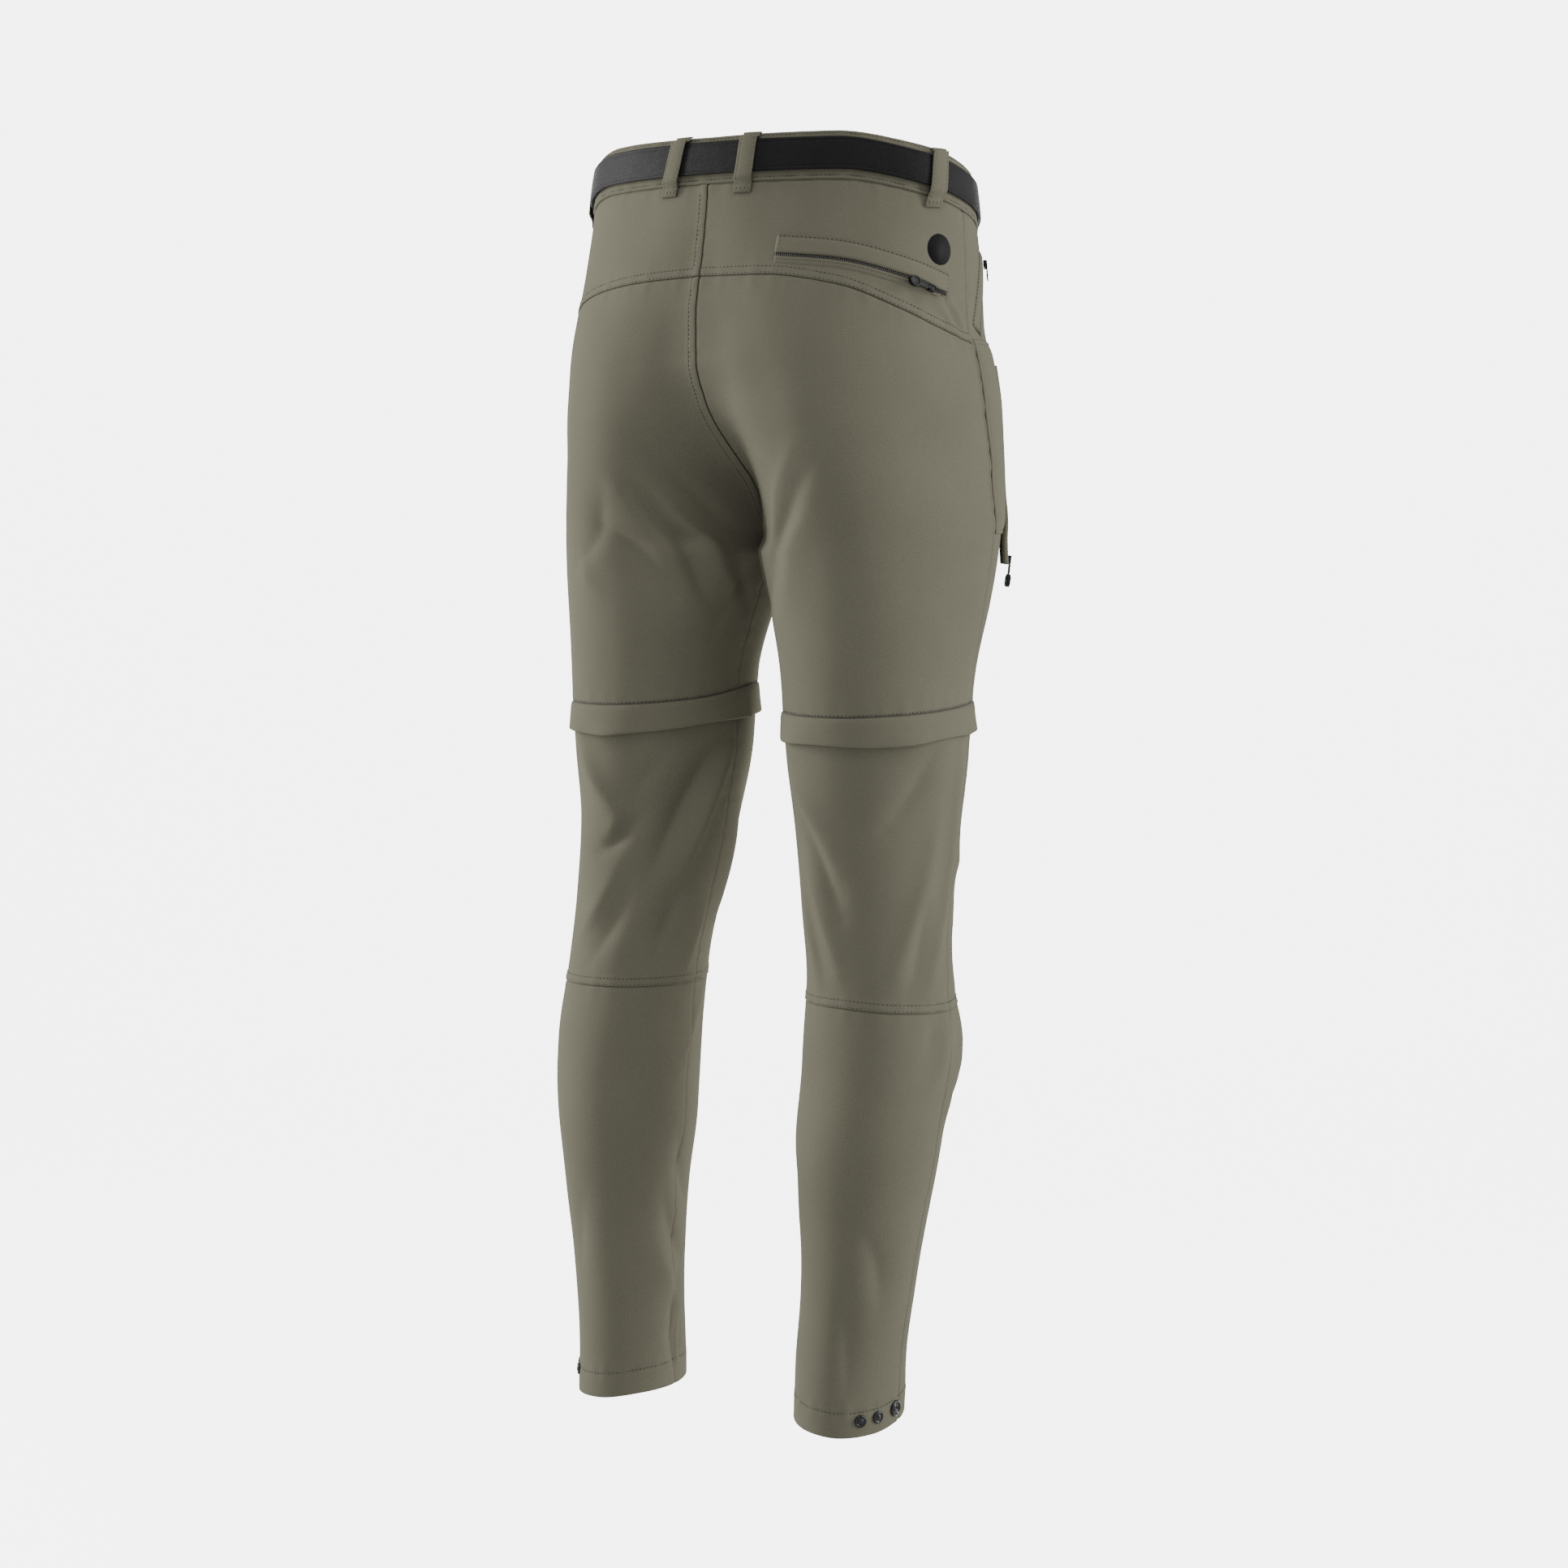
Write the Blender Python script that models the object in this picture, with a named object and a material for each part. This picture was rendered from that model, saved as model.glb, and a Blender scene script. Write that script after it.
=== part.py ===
"""Convertible zip-off trousers, worn shape: cloth panels, waistband, belt, pockets, zips and snaps.

Metres, +Z up. The wearer faces -Y, with the right side at -X. The origin is the middle of the
waist, level with the waistband's lower seam at centre back. Every panel is cut from one cloth form:
a stack of sections with a place `across` (0 centre back or back inseam, 0.5 side seam, 1 centre
front or front inseam) and a height.
"""
import math

import bmesh
import bpy
import numpy as np
from mathutils import Matrix, Vector

# Driving dimensions
CLOTH_THICKNESS = 0.0011
SEAM_GAP = 0.0003
CROTCH_HEIGHT = -0.270
PANEL_COLUMNS = 12
BAND_THICKNESS = 0.0024
BAND_LAP = 0.08
BELT_THICKNESS = 0.0026
BELT_WIDTH = 0.0250
BELT_ABOVE_SEAM = 0.0070
LOOP_WIDTH = 0.0145
LOOP_THICKNESS = 0.0013
LOOP_EASE = 0.0022
LOOP_DROP = 0.0150
LOOP_FOOT = 0.0120
KNEE_ZIP_WIDTH = 0.0110
FLAP_TOP_LIFT = 0.0016
FLAP_EDGE_LIFT = 0.0048
LYING_GAP = 0.0008
TAPE_THICKNESS = 0.0007
BAND_PROUD = 0.0008
WELT_HEIGHT = 0.0140
THIGH_POCKET_TOP = -0.1135
THIGH_POCKET_BOTTOM = -0.2650
THIGH_POCKET_SETBACK = 0.15
THIGH_POCKET_COLUMNS = 5
THIGH_POCKET_BULGE = 0.0022
THIGH_ZIP_RISE = 0.0030
FLY_WIDTH = 0.0340
FLY_BOTTOM = -0.1850
BADGE_PLACE = ("right", 0.433, -0.0470)
BADGE_RADIUS = 0.0120
BADGE_THICKNESS = 0.0009

# Pocket edges and zips, as stops of a place across and a height
BACK_POCKET_EDGE = ((0.140, -0.0510), (0.254, -0.0560), (0.352, -0.0670), (0.446, -0.0800))
BACK_POCKET_SLIDER = (0.405, -0.0778)
BACK_POCKET_AIM = (0.369, -0.0732)
HAND_POCKET_EDGE = ((0.605, -0.0470), (0.535, -0.1080))
HAND_POCKET_SLIDER = (0.607, -0.0530)
HAND_POCKET_AIM = (0.598, -0.0650)
THIGH_ZIP_ROUTE = ((0.615, -0.1320), (0.613, -0.2880))
THIGH_SLIDER = (0.613, -0.2840)
THIGH_AIM = (0.613, -0.3000)

# Slider and pull tab of each pocket zip
SLIDER_WIDTH = 0.0050
SLIDER_LENGTH = 0.0060
SLIDER_BASE = 0.0014
SLIDER_CHEEK = 0.0008
SLIDER_HEIGHT = 0.0032
PULL_THICKNESS = 0.0012
PULL_NECK = 0.0024
PULL_REACH = 0.0036
PULL_LENGTH = 0.0105
PULL_WIDTH = 0.0045

# Belt buckle and hem snaps
BUCKLE_WIDTH = 0.0400
BUCKLE_HEIGHT = 0.0340
BUCKLE_WIRE = 0.0017
BUCKLE_CORNER = 0.0060
PRONG_RADIUS = 0.0013
BELT_END_PLACE = -0.985
BELT_TIP_PLACE = 1.14
BELT_LAP_START = 0.88
BELT_LAP_RISE = 0.10
SNAP_THICKNESS = 0.0018
SNAP_GAP = 0.0005
SNAP_TAPER = 0.92
SNAPS = (
    # place across, height, radius
    (0.373, -0.9560, 0.0050),
    (0.429, -0.9550, 0.0050),
    (0.500, -0.9520, 0.0065),
)
BELT_LOOPS = (
    # name, side, place across at the top, at the bottom
    ("belt_loop_back_left", "left", 0.054, 0.083),
    ("belt_loop_back_right", "right", 0.094, 0.073),
    ("belt_loop_hip_left", "left", 0.440, 0.430),
    ("belt_loop_hip_right", "right", 0.448, 0.421),
    ("belt_loop_front_left", "left", 0.780, 0.780),
    ("belt_loop_front_right", "right", 0.780, 0.780),
)

# Sections of the cloth form, top to bottom
SECTION_COLUMNS = (
    "height", "side_x", "side_y", "back_x", "back_y", "front_x", "front_y", "inner_x", "back_rise",
    "front_rise", "hook",
)
SECTIONS = (
    (0.050, 0.1570, 0.006, 0.000, 0.1090, 0.000, -0.1080, 0.000, 0.1090, -0.1080, 0.00),
    (0.000, 0.1655, 0.006, 0.006, 0.1120, 0.006, -0.1120, 0.000, 0.1120, -0.1120, 0.00),
    (-0.050, 0.1695, 0.007, 0.030, 0.1205, 0.030, -0.1110, 0.000, 0.1197, -0.1110, 0.00),
    (-0.100, 0.1722, 0.006, 0.055, 0.1322, 0.050, -0.1110, 0.000, 0.1290, -0.1110, 0.00),
    (-0.130, 0.1760, -0.001, 0.066, 0.1362, 0.060, -0.1120, 0.000, 0.1292, -0.1120, 0.05),
    (-0.165, 0.1788, -0.005, 0.078, 0.1350, 0.070, -0.1130, 0.000, 0.1140, -0.1115, 0.20),
    (-0.200, 0.1795, -0.005, 0.088, 0.1290, 0.080, -0.1120, 0.000, 0.0765, -0.1030, 0.40),
    (-0.230, 0.1818, -0.001, 0.094, 0.1225, 0.087, -0.1080, 0.000, 0.0400, -0.0800, 0.60),
    (-0.255, 0.1848, 0.000, 0.097, 0.1170, 0.092, -0.1020, 0.000, 0.0240, -0.0400, 0.70),
    (-0.270, 0.1850, 0.002, 0.098, 0.1150, 0.094, -0.0980, 0.000, 0.0120, 0.0120, 0.80),
    (-0.280, 0.1846, 0.003, 0.099, 0.1140, 0.096, -0.0950, 0.004, 0.0130, 0.0130, 1.00),
    (-0.320, 0.1820, 0.009, 0.100, 0.1120, 0.100, -0.0830, 0.016, 0.0170, 0.0170, 1.00),
    (-0.380, 0.1759, 0.019, 0.102, 0.1090, 0.102, -0.0640, 0.0285, 0.0225, 0.0225, 1.00),
    (-0.440, 0.1725, 0.024, 0.102, 0.1040, 0.102, -0.0570, 0.0325, 0.0240, 0.0240, 1.00),
    (-0.500, 0.1685, 0.027, 0.105, 0.0978, 0.105, -0.0446, 0.0409, 0.0266, 0.0266, 1.00),
    (-0.560, 0.1691, 0.035, 0.110, 0.0986, 0.110, -0.0296, 0.0501, 0.0345, 0.0345, 1.00),
    (-0.620, 0.1729, 0.042, 0.116, 0.1020, 0.116, -0.0190, 0.0591, 0.0415, 0.0415, 1.00),
    (-0.680, 0.1782, 0.051, 0.119, 0.1131, 0.119, -0.0111, 0.0606, 0.0510, 0.0510, 1.00),
    (-0.740, 0.1733, 0.059, 0.116, 0.1208, 0.116, -0.0018, 0.0593, 0.0595, 0.0595, 1.00),
    (-0.800, 0.1641, 0.063, 0.114, 0.1175, 0.114, 0.0077, 0.0647, 0.0626, 0.0626, 1.00),
    (-0.860, 0.1549, 0.066, 0.110, 0.1160, 0.110, 0.0150, 0.0657, 0.0655, 0.0655, 1.00),
    (-0.920, 0.1481, 0.069, 0.106, 0.1183, 0.106, 0.0207, 0.0643, 0.0695, 0.0695, 1.00),
    (-0.990, 0.1462, 0.071, 0.104, 0.1205, 0.104, 0.0210, 0.0626, 0.0705, 0.0705, 1.00),
)
ROUNDNESS = 0.5523

# Sewn lines of each half, as pairs of a place across and a height
LINES = {
    "waist_top": {
        "left": ((0.0, 0.0410), (0.25, 0.0420), (0.41, 0.0325), (0.52, 0.0225), (0.75, 0.0040), (1.0, -0.0040)),
        "right": ((0.0, 0.0410), (0.25, 0.0420), (0.41, 0.0325), (0.52, 0.0225), (0.75, 0.0040), (1.0, -0.0040)),
    },
    "waist_seam": {
        "left": ((0.0, 0.005), (0.25, 0.005), (0.41, -0.006), (0.52, -0.017), (0.75, -0.035), (1.0, -0.044)),
        "right": ((0.0, 0.005), (0.25, 0.005), (0.41, -0.006), (0.52, -0.017), (0.75, -0.035), (1.0, -0.044)),
    },
    "yoke_seam": {
        "left": ((0.0, -0.066), (0.12, -0.069), (0.25, -0.076), (0.32, -0.082), (0.50, -0.108),
                 (1.0, -0.120)),
        "right": ((0.0, -0.066), (0.13, -0.067), (0.25, -0.0755), (0.36, -0.095), (0.42, -0.106), (0.50, -0.116),
                  (1.0, -0.122)),
    },
    "crotch": {
        "left": ((0.0, CROTCH_HEIGHT), (1.0, CROTCH_HEIGHT)),
        "right": ((0.0, CROTCH_HEIGHT), (1.0, CROTCH_HEIGHT)),
    },
    "knee_stitch": {
        "left": ((0.0, -0.3915), (0.08, -0.397), (0.18, -0.401), (0.26, -0.403), (0.50, -0.401),
                 (0.75, -0.391), (0.93, -0.388), (1.0, -0.3915)),
        "right": ((0.0, -0.4030), (0.26, -0.406), (0.375, -0.404), (0.54, -0.399), (0.75, -0.394), (1.0, -0.4030)),
    },
    "flap_edge": {
        "left": ((0.0, -0.4155), (0.12, -0.420), (0.20, -0.4235), (0.265, -0.4278), (0.36, -0.4255),
                 (0.50, -0.4235), (0.75, -0.413), (0.90, -0.4118), (1.0, -0.4155)),
        "right": ((0.0, -0.4225), (0.25, -0.4282), (0.50, -0.4230), (0.75, -0.4150), (1.0, -0.4225)),
    },
    "calf_seam": {
        "left": ((0.0, -0.632), (0.25, -0.633), (0.50, -0.635), (0.75, -0.630), (1.0, -0.632)),
        "right": ((0.0, -0.632), (0.24, -0.631), (0.37, -0.634), (0.525, -0.637), (0.75, -0.632), (1.0, -0.632)),
    },
    "hem": {
        "left": ((0.0, -0.9655), (0.125, -0.967), (0.25, -0.9715), (0.38, -0.973), (0.50, -0.971),
                 (0.75, -0.962), (0.90, -0.964), (1.0, -0.9655)),
        "right": ((0.0, -0.959), (0.115, -0.963), (0.24, -0.967), (0.32, -0.969), (0.41, -0.968),
                  (0.54, -0.962), (0.75, -0.954), (1.0, -0.959)),
    },
}

# The side seam leans forward down the thigh: pairs of a height and a place across
SIDE_SEAM = (
    (0.050, 0.505), (-0.110, 0.500), (-0.160, 0.506), (-0.210, 0.524), (-0.280, 0.530), (-0.360, 0.548),
    (-0.420, 0.564), (-0.500, 0.540), (-0.640, 0.525), (-0.990, 0.520),
)

# The largest folds: each runs from one place to another and stands out, or sinks where rise is below 0
FOLD_COLUMNS = ("side", "from_across", "from_height", "to_across", "to_height", "half_width", "rise")
FOLDS = (
    ("left", 0.192, -0.234, 0.098, -0.323, 0.012, 0.0035),
    ("left", 0.168, -0.232, 0.096, -0.320, 0.009, -0.0035),
    ("left", 0.150, -0.228, 0.050, -0.314, 0.011, 0.0030),
    ("left", 0.235, -0.262, 0.150, -0.312, 0.012, -0.0030),
    ("left", 0.223, -0.235, 0.290, -0.285, 0.012, -0.0020),
    ("left", 0.317, -0.433, 0.231, -0.491, 0.013, 0.0035),
    ("left", 0.195, -0.494, 0.268, -0.522, 0.012, -0.0035),
    ("left", 0.046, -0.436, 0.154, -0.536, 0.015, -0.0050),
    ("left", 0.012, -0.440, 0.090, -0.540, 0.009, 0.0035),
    ("left", 0.196, -0.549, 0.267, -0.609, 0.014, -0.0025),
    ("left", 0.081, -0.551, 0.117, -0.606, 0.011, -0.0030),
    ("left", 0.015, -0.575, 0.040, -0.624, 0.009, 0.0025),
    ("left", 0.048, -0.640, 0.070, -0.670, 0.010, -0.0020),
    ("right", 0.231, -0.225, 0.188, -0.312, 0.013, 0.0022),
    ("right", 0.212, -0.229, 0.119, -0.316, 0.012, -0.0032),
    ("right", 0.181, -0.203, 0.150, -0.290, 0.011, 0.0018),
    ("right", 0.154, -0.451, 0.250, -0.524, 0.012, 0.0030),
    ("right", 0.185, -0.495, 0.258, -0.558, 0.011, -0.0030),
    ("right", 0.181, -0.525, 0.242, -0.602, 0.011, 0.0025),
    ("right", 0.435, -0.440, 0.358, -0.488, 0.013, -0.0025),
    ("right", 0.462, -0.486, 0.377, -0.600, 0.013, 0.0022),
    ("right", 0.440, -0.560, 0.404, -0.614, 0.010, -0.0025),
    ("right", 0.523, -0.432, 0.500, -0.560, 0.010, 0.0020),
    ("right", 0.521, -0.640, 0.473, -0.690, 0.011, 0.0020),
    ("right", 0.610, -0.630, 0.575, -0.705, 0.020, 0.0045),
    ("left", 0.610, -0.630, 0.575, -0.705, 0.020, 0.0035),
    ("left", 0.600, -0.520, 0.790, -0.488, 0.013, 0.0030),
    ("left", 0.620, -0.566, 0.840, -0.548, 0.013, 0.0030),
    ("right", 0.600, -0.526, 0.780, -0.500, 0.013, 0.0030),
    ("right", 0.640, -0.574, 0.850, -0.540, 0.013, 0.0025),
    ("left", 0.900, -0.232, 0.640, -0.205, 0.012, -0.0028),
    ("right", 0.900, -0.226, 0.760, -0.200, 0.012, -0.0028),
)


def curve_through(knots, values, at):
    """Reads a smooth curve through a few values, which never swings past them."""
    knots = np.asarray(knots, float)
    values = np.asarray(values, float)
    at = np.clip(at, knots[0], knots[-1])
    steps = np.diff(knots)
    slopes = np.diff(values) / steps
    tangents = np.zeros(len(knots))
    tangents[0], tangents[-1] = slopes[0], slopes[-1]
    for i in range(1, len(knots) - 1):
        if slopes[i - 1] * slopes[i] > 0.0:
            before = 2.0 * steps[i] + steps[i - 1]
            after = steps[i] + 2.0 * steps[i - 1]
            tangents[i] = (before + after) / (before / slopes[i - 1] + after / slopes[i])
    span = np.clip(np.searchsorted(knots, at, side="right") - 1, 0, len(steps) - 1)
    width = steps[span]
    t = (at - knots[span]) / width
    start, end = values[span], values[span + 1]
    pull = (t ** 3 - 2 * t ** 2 + t) * width * tangents[span]
    push = (t ** 3 - t ** 2) * width * tangents[span + 1]
    return (2 * t ** 3 - 3 * t ** 2 + 1) * start + (3 * t ** 2 - 2 * t ** 3) * end + pull + push


def arc(start, start_pull, end_pull, end, count=24):
    """A Bezier arc from start to end, with its two pulls given as offsets from the ends."""
    t = np.linspace(0.0, 1.0, count)[:, None]
    return ((1 - t) ** 3 * start + 3 * (1 - t) ** 2 * t * (start + start_pull)
            + 3 * (1 - t) * t * t * (end - end_pull) + t ** 3 * end)


def spaced(points, count):
    """The same curve with its points at even distances along it, and its length."""
    lengths = np.r_[0.0, np.cumsum(np.linalg.norm(np.diff(points, axis=0), axis=1))]
    places = np.linspace(0.0, lengths[-1], count)
    even = np.column_stack([np.interp(places, lengths, points[:, axis]) for axis in (0, 1)])
    return even, lengths[-1]


def section(row, count):
    """One half of the garment at one height: back half then front half, each evenly spaced."""
    side = np.array([row["side_x"], row["side_y"]])
    halves = []
    for end_x, end_y, rise in (("back_x", "back_y", "back_rise"), ("front_x", "front_y", "front_rise")):
        inner = np.array([row["inner_x"], row[rise]])
        outer = np.array([row[end_x], row[end_y]])
        step = ROUNDNESS * (outer - inner)
        first_pull = step * np.array([1.0 - row["hook"], row["hook"]])
        near = arc(inner, first_pull, step * np.array([1.0, 0.0]), outer)
        step = ROUNDNESS * (side - outer)
        far = arc(outer, step * np.array([1.0, 0.0]), step * np.array([0.0, 1.0]), side)
        halves.append(spaced(np.vstack([near, far[1:]]), count))
    (back, back_length), (front, front_length) = halves
    return np.vstack([back, front[::-1][1:]]), back_length + front_length


FORM_STEP = 0.002
FORM_COLUMNS = 61
NORMAL_SMOOTHING = 4
CROTCH_BLEND = 0.012
FOLD_END_SHARE = 0.12


def cloth_form():
    """The left half of the cloth form as a fine table of points, outward normals and girths."""
    table = np.array(SECTIONS)
    heights = np.arange(table[0, 0], table[-1, 0], -FORM_STEP)
    columns = {name: curve_through(-table[:, 0], table[:, i], -heights)
               for i, name in enumerate(SECTION_COLUMNS)}
    points = np.zeros((len(heights), 2 * FORM_COLUMNS - 1, 3))
    girths = np.zeros(len(heights))
    for level, height in enumerate(heights):
        row = {name: values[level] for name, values in columns.items()}
        points[level, :, :2], girths[level] = section(row, FORM_COLUMNS)
        points[level, :, 2] = height
    along = np.gradient(points, axis=1)
    mirror = np.array([-1.0, 1.0, 1.0])
    for level, height in enumerate(heights):
        if height > CROTCH_HEIGHT:
            along[level, 0] = points[level, 1] - points[level, 1] * mirror
            along[level, -1] = points[level, -2] * mirror - points[level, -2]
        else:
            along[level, 0] = along[level, -1] = points[level, 1] - points[level, -2]
    normals = np.cross(along, np.gradient(points, axis=0))
    normals /= np.linalg.norm(normals, axis=2, keepdims=True)
    for _ in range(NORMAL_SMOOTHING):
        normals[1:-1] = normals[:-2] + 2.0 * normals[1:-1] + normals[2:]
        normals /= np.linalg.norm(normals, axis=2, keepdims=True)
    meet = np.clip(1.0 - (heights - CROTCH_HEIGHT) / CROTCH_BLEND, 0.0, 1.0)[:, None]
    middle = normals[:, 0] + normals[:, -1]
    for edge in (0, -1):
        normals[:, edge] += meet * (middle / 2.0 - normals[:, edge])
    normals /= np.linalg.norm(normals, axis=2, keepdims=True)
    return heights, points, normals, girths


HEIGHTS, FORM_POINTS, FORM_NORMALS, GIRTHS = cloth_form()


def read_form(table, across, height):
    """Reads a table of the cloth form between its rows and columns."""
    level = np.clip((HEIGHTS[0] - height) / FORM_STEP, 0.0, len(HEIGHTS) - 1.001)
    column = np.clip(across, 0.0, 1.0) * (table.shape[1] - 1.001)
    low, left = np.floor(level).astype(int), np.floor(column).astype(int)
    down, right = (level - low)[..., None], (column - left)[..., None]
    top = table[low, left] * (1 - right) + table[low, left + 1] * right
    bottom = table[low + 1, left] * (1 - right) + table[low + 1, left + 1] * right
    return top * (1 - down) + bottom * down


def girth_at(height):
    """Length once across one half of the form at a height: round the leg, or from centre back to front."""
    return np.interp(-np.asarray(height, float), -HEIGHTS, GIRTHS)


def fold_rise(side, across, height):
    """How far the folds move the cloth out, or in, at each place. Leg folds run on past the inseam."""
    rise = np.zeros(np.shape(across))
    for values in FOLDS:
        fold = dict(zip(FOLD_COLUMNS, values))
        if fold["side"] != side:
            continue
        girth = girth_at(fold["from_height"])
        run = np.array([(fold["to_across"] - fold["from_across"]) * girth,
                        fold["to_height"] - fold["from_height"]])
        turns = (-1, 0, 1) if fold["from_height"] < CROTCH_HEIGHT else (0,)
        for turn in turns:
            away = np.stack([(across + turn - fold["from_across"]) * girth, height - fold["from_height"]],
                            axis=-1)
            share = np.clip(away @ run / (run @ run), 0.0, 1.0)
            distance = np.linalg.norm(away - share[..., None] * run, axis=-1)
            taper = np.sin(math.pi * (FOLD_END_SHARE + (1.0 - 2.0 * FOLD_END_SHARE) * share))
            rise += fold["rise"] * taper * np.exp(-(distance / fold["half_width"]) ** 2)
    return rise


def on_cloth(side, across, height, lift=0.0):
    """Points at places on the cloth's outer face, moved out by lift, with their normals."""
    across, height = np.broadcast_arrays(np.asarray(across, float), np.asarray(height, float))
    points = read_form(FORM_POINTS, across, height)
    normals = read_form(FORM_NORMALS, across, height)
    normals = normals / np.linalg.norm(normals, axis=-1, keepdims=True)
    points = points + normals * (fold_rise(side, across, height) + lift)[..., None]
    if side == "right":
        flip = np.array([-1.0, 1.0, 1.0])
        return points * flip, normals * flip
    return points, normals


def line_height(side, line, across):
    """The height of a sewn line at each place across one half."""
    if line == "zip_edge":
        return line_height(side, "knee_stitch", across) - KNEE_ZIP_WIDTH
    places, heights = zip(*LINES[line][side])
    return curve_through(places, heights, across)


def side_seam(height):
    """The place across of the side seam at each height."""
    heights, places = zip(*SIDE_SEAM)
    return curve_through([-value for value in heights], places, -np.asarray(height, float))


def half_across(half, fractions, height):
    """Places across one panel, whose fractions run from its back edge to its front edge."""
    seam = side_seam(height)
    if half == "back":
        return fractions * seam
    if half == "front":
        return seam + fractions * (1.0 - seam)
    back_share = np.minimum(2.0 * fractions, 1.0)
    front_share = np.maximum(2.0 * fractions - 1.0, 0.0)
    return back_share * seam + front_share * (1.0 - seam)


def panel_grid(side, half, lines, row_counts, columns, eases):
    """Places across and heights of a panel's grid, between one sewn line and the next."""
    fractions = np.linspace(0.0, 1.0, columns + 1)
    levels = []
    for line in lines:
        height = line_height(side, line, fractions)
        for _ in range(6):
            height = line_height(side, line, half_across(half, fractions, height))
        levels.append(height)
    rows = []
    for index, (count, ease) in enumerate(zip(row_counts, eases)):
        for step in range(count):
            share = 1.0 - (1.0 - step / count) ** ease
            rows.append(levels[index] + share * (levels[index + 1] - levels[index]))
    rows.append(levels[-1])
    heights = np.array(rows)
    heights[0] -= SEAM_GAP / 2.0
    heights[-1] += SEAM_GAP / 2.0
    across = half_across(half, fractions[None, :], heights)
    inset = SEAM_GAP / 2.0 / girth_at(heights)
    across[:, 0] += inset[:, 0]
    across[:, -1] -= inset[:, -1]
    return across, heights


def finish(name, colour, roughness, metallic=0.0):
    """A plain Principled material."""
    material = bpy.data.materials.new(name)
    material.use_nodes = True
    shader = material.node_tree.nodes["Principled BSDF"]
    shader.inputs["Base Color"].default_value = (*colour, 1.0)
    shader.inputs["Roughness"].default_value = roughness
    shader.inputs["Metallic"].default_value = metallic
    return material


def add_object(name, mesh_data, material):
    """Puts a finished bmesh in the trousers' collection as one named object."""
    bmesh.ops.recalc_face_normals(mesh_data, faces=mesh_data.faces)
    mesh = bpy.data.meshes.new(name)
    mesh_data.to_mesh(mesh)
    mesh_data.free()
    mesh.materials.append(material)
    piece = bpy.data.objects.new(name, mesh)
    TROUSERS.objects.link(piece)
    return piece


def shell(name, outer, inner, material):
    """A closed wall between two matching grids of points."""
    rows, columns = outer.shape[:2]
    wall = bmesh.new()
    bmesh.ops.create_grid(wall, x_segments=columns - 1, y_segments=rows - 1, size=1.0)
    place = wall.verts.layers.int.new("place")
    for vertex in wall.verts:
        column = round((vertex.co.x + 1.0) / 2.0 * (columns - 1))
        row = round((vertex.co.y + 1.0) / 2.0 * (rows - 1))
        vertex[place] = row * columns + column
        vertex.co = outer[row, column]
    grown = bmesh.ops.extrude_face_region(wall, geom=wall.faces[:])["geom"]
    for vertex in (item for item in grown if isinstance(item, bmesh.types.BMVert)):
        vertex.co = inner[divmod(vertex[place], columns)]
    piece = add_object(name, wall, material)
    piece.data.shade_smooth()
    return piece


def cloth_wall(name, side, across, heights, material, lift=0.0, thickness=CLOTH_THICKNESS):
    """A wall of cloth whose outer face stands off the cloth form by lift."""
    points, normals = on_cloth(side, across, heights, lift)
    return shell(name, points, points - normals * thickness, material)


def sewn_panels(side, cloth):
    """The main cut panels of one half, from the waist seam to the hem."""
    panels = (
        # name, half, lines, rows, eases
        ("back_yoke", "back", ("waist_seam", "yoke_seam"), (4,), (1.0,)),
        ("back_thigh", "back", ("yoke_seam", "crotch", "knee_stitch"), (11, 7), (1.5, 1.0)),
        ("front_thigh", "front", ("waist_seam", "yoke_seam", "crotch", "knee_stitch"), (4, 11, 7),
         (1.0, 1.5, 1.0)),
        ("back_calf_upper", "back", ("zip_edge", "calf_seam"), (10,), (1.0,)),
        ("knee_front", "front", ("zip_edge", "calf_seam"), (10,), (1.0,)),
        ("back_calf_lower", "back", ("calf_seam", "hem"), (13,), (1.0,)),
        ("shin_front", "front", ("calf_seam", "hem"), (13,), (1.0,)),
    )
    for name, half, lines, rows, eases in panels:
        across, heights = panel_grid(side, half, lines, rows, PANEL_COLUMNS, eases)
        cloth_wall(f"{name}_{side}", side, across, heights, cloth)


def knee_join(side, cloth, tape):
    """The zip that parts the lower leg, and the flap that covers it."""
    across, heights = panel_grid(side, "round", ("knee_stitch", "zip_edge"), (1,), 2 * PANEL_COLUMNS, (1.0,))
    cloth_wall(f"knee_zip_{side}", side, across, heights, tape)
    across, heights = panel_grid(side, "round", ("knee_stitch", "flap_edge"), (2,), 2 * PANEL_COLUMNS, (1.0,))
    lift = np.array([FLAP_TOP_LIFT, 0.5 * (FLAP_TOP_LIFT + FLAP_EDGE_LIFT), FLAP_EDGE_LIFT])[:, None]
    cloth_wall(f"knee_flap_{side}", side, across, heights, cloth, lift)


def around(place):
    """Side and place across of a place round the waist: -1 right front, 0 centre back, 1 left front."""
    if place < -1.0:
        return "left", 2.0 + place
    if place > 1.0:
        return "right", 2.0 - place
    if place < 0.0:
        return "right", -place
    return "left", place


def waist_strip(name, places, lifts, top, bottom, rows, thickness, material):
    """A strip round the waist. top and bottom give its edges' heights at a side and place."""
    outer = np.zeros((rows + 1, len(places), 3))
    inner = np.zeros_like(outer)
    for column, (place, lift) in enumerate(zip(places, lifts)):
        side, across = around(place)
        heights = np.linspace(top(side, across), bottom(side, across), rows + 1)
        points, normals = on_cloth(side, across, heights, lift)
        outer[:, column] = points
        inner[:, column] = points - normals * thickness
    return shell(name, outer, inner, material)


def band_top(side, across):
    """Height of the waistband's top edge."""
    return float(line_height(side, "waist_top", across))


def band_bottom(side, across):
    """Height of the waistband's lower edge, just above the seam."""
    return float(line_height(side, "waist_seam", across)) + SEAM_GAP / 2.0


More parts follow.
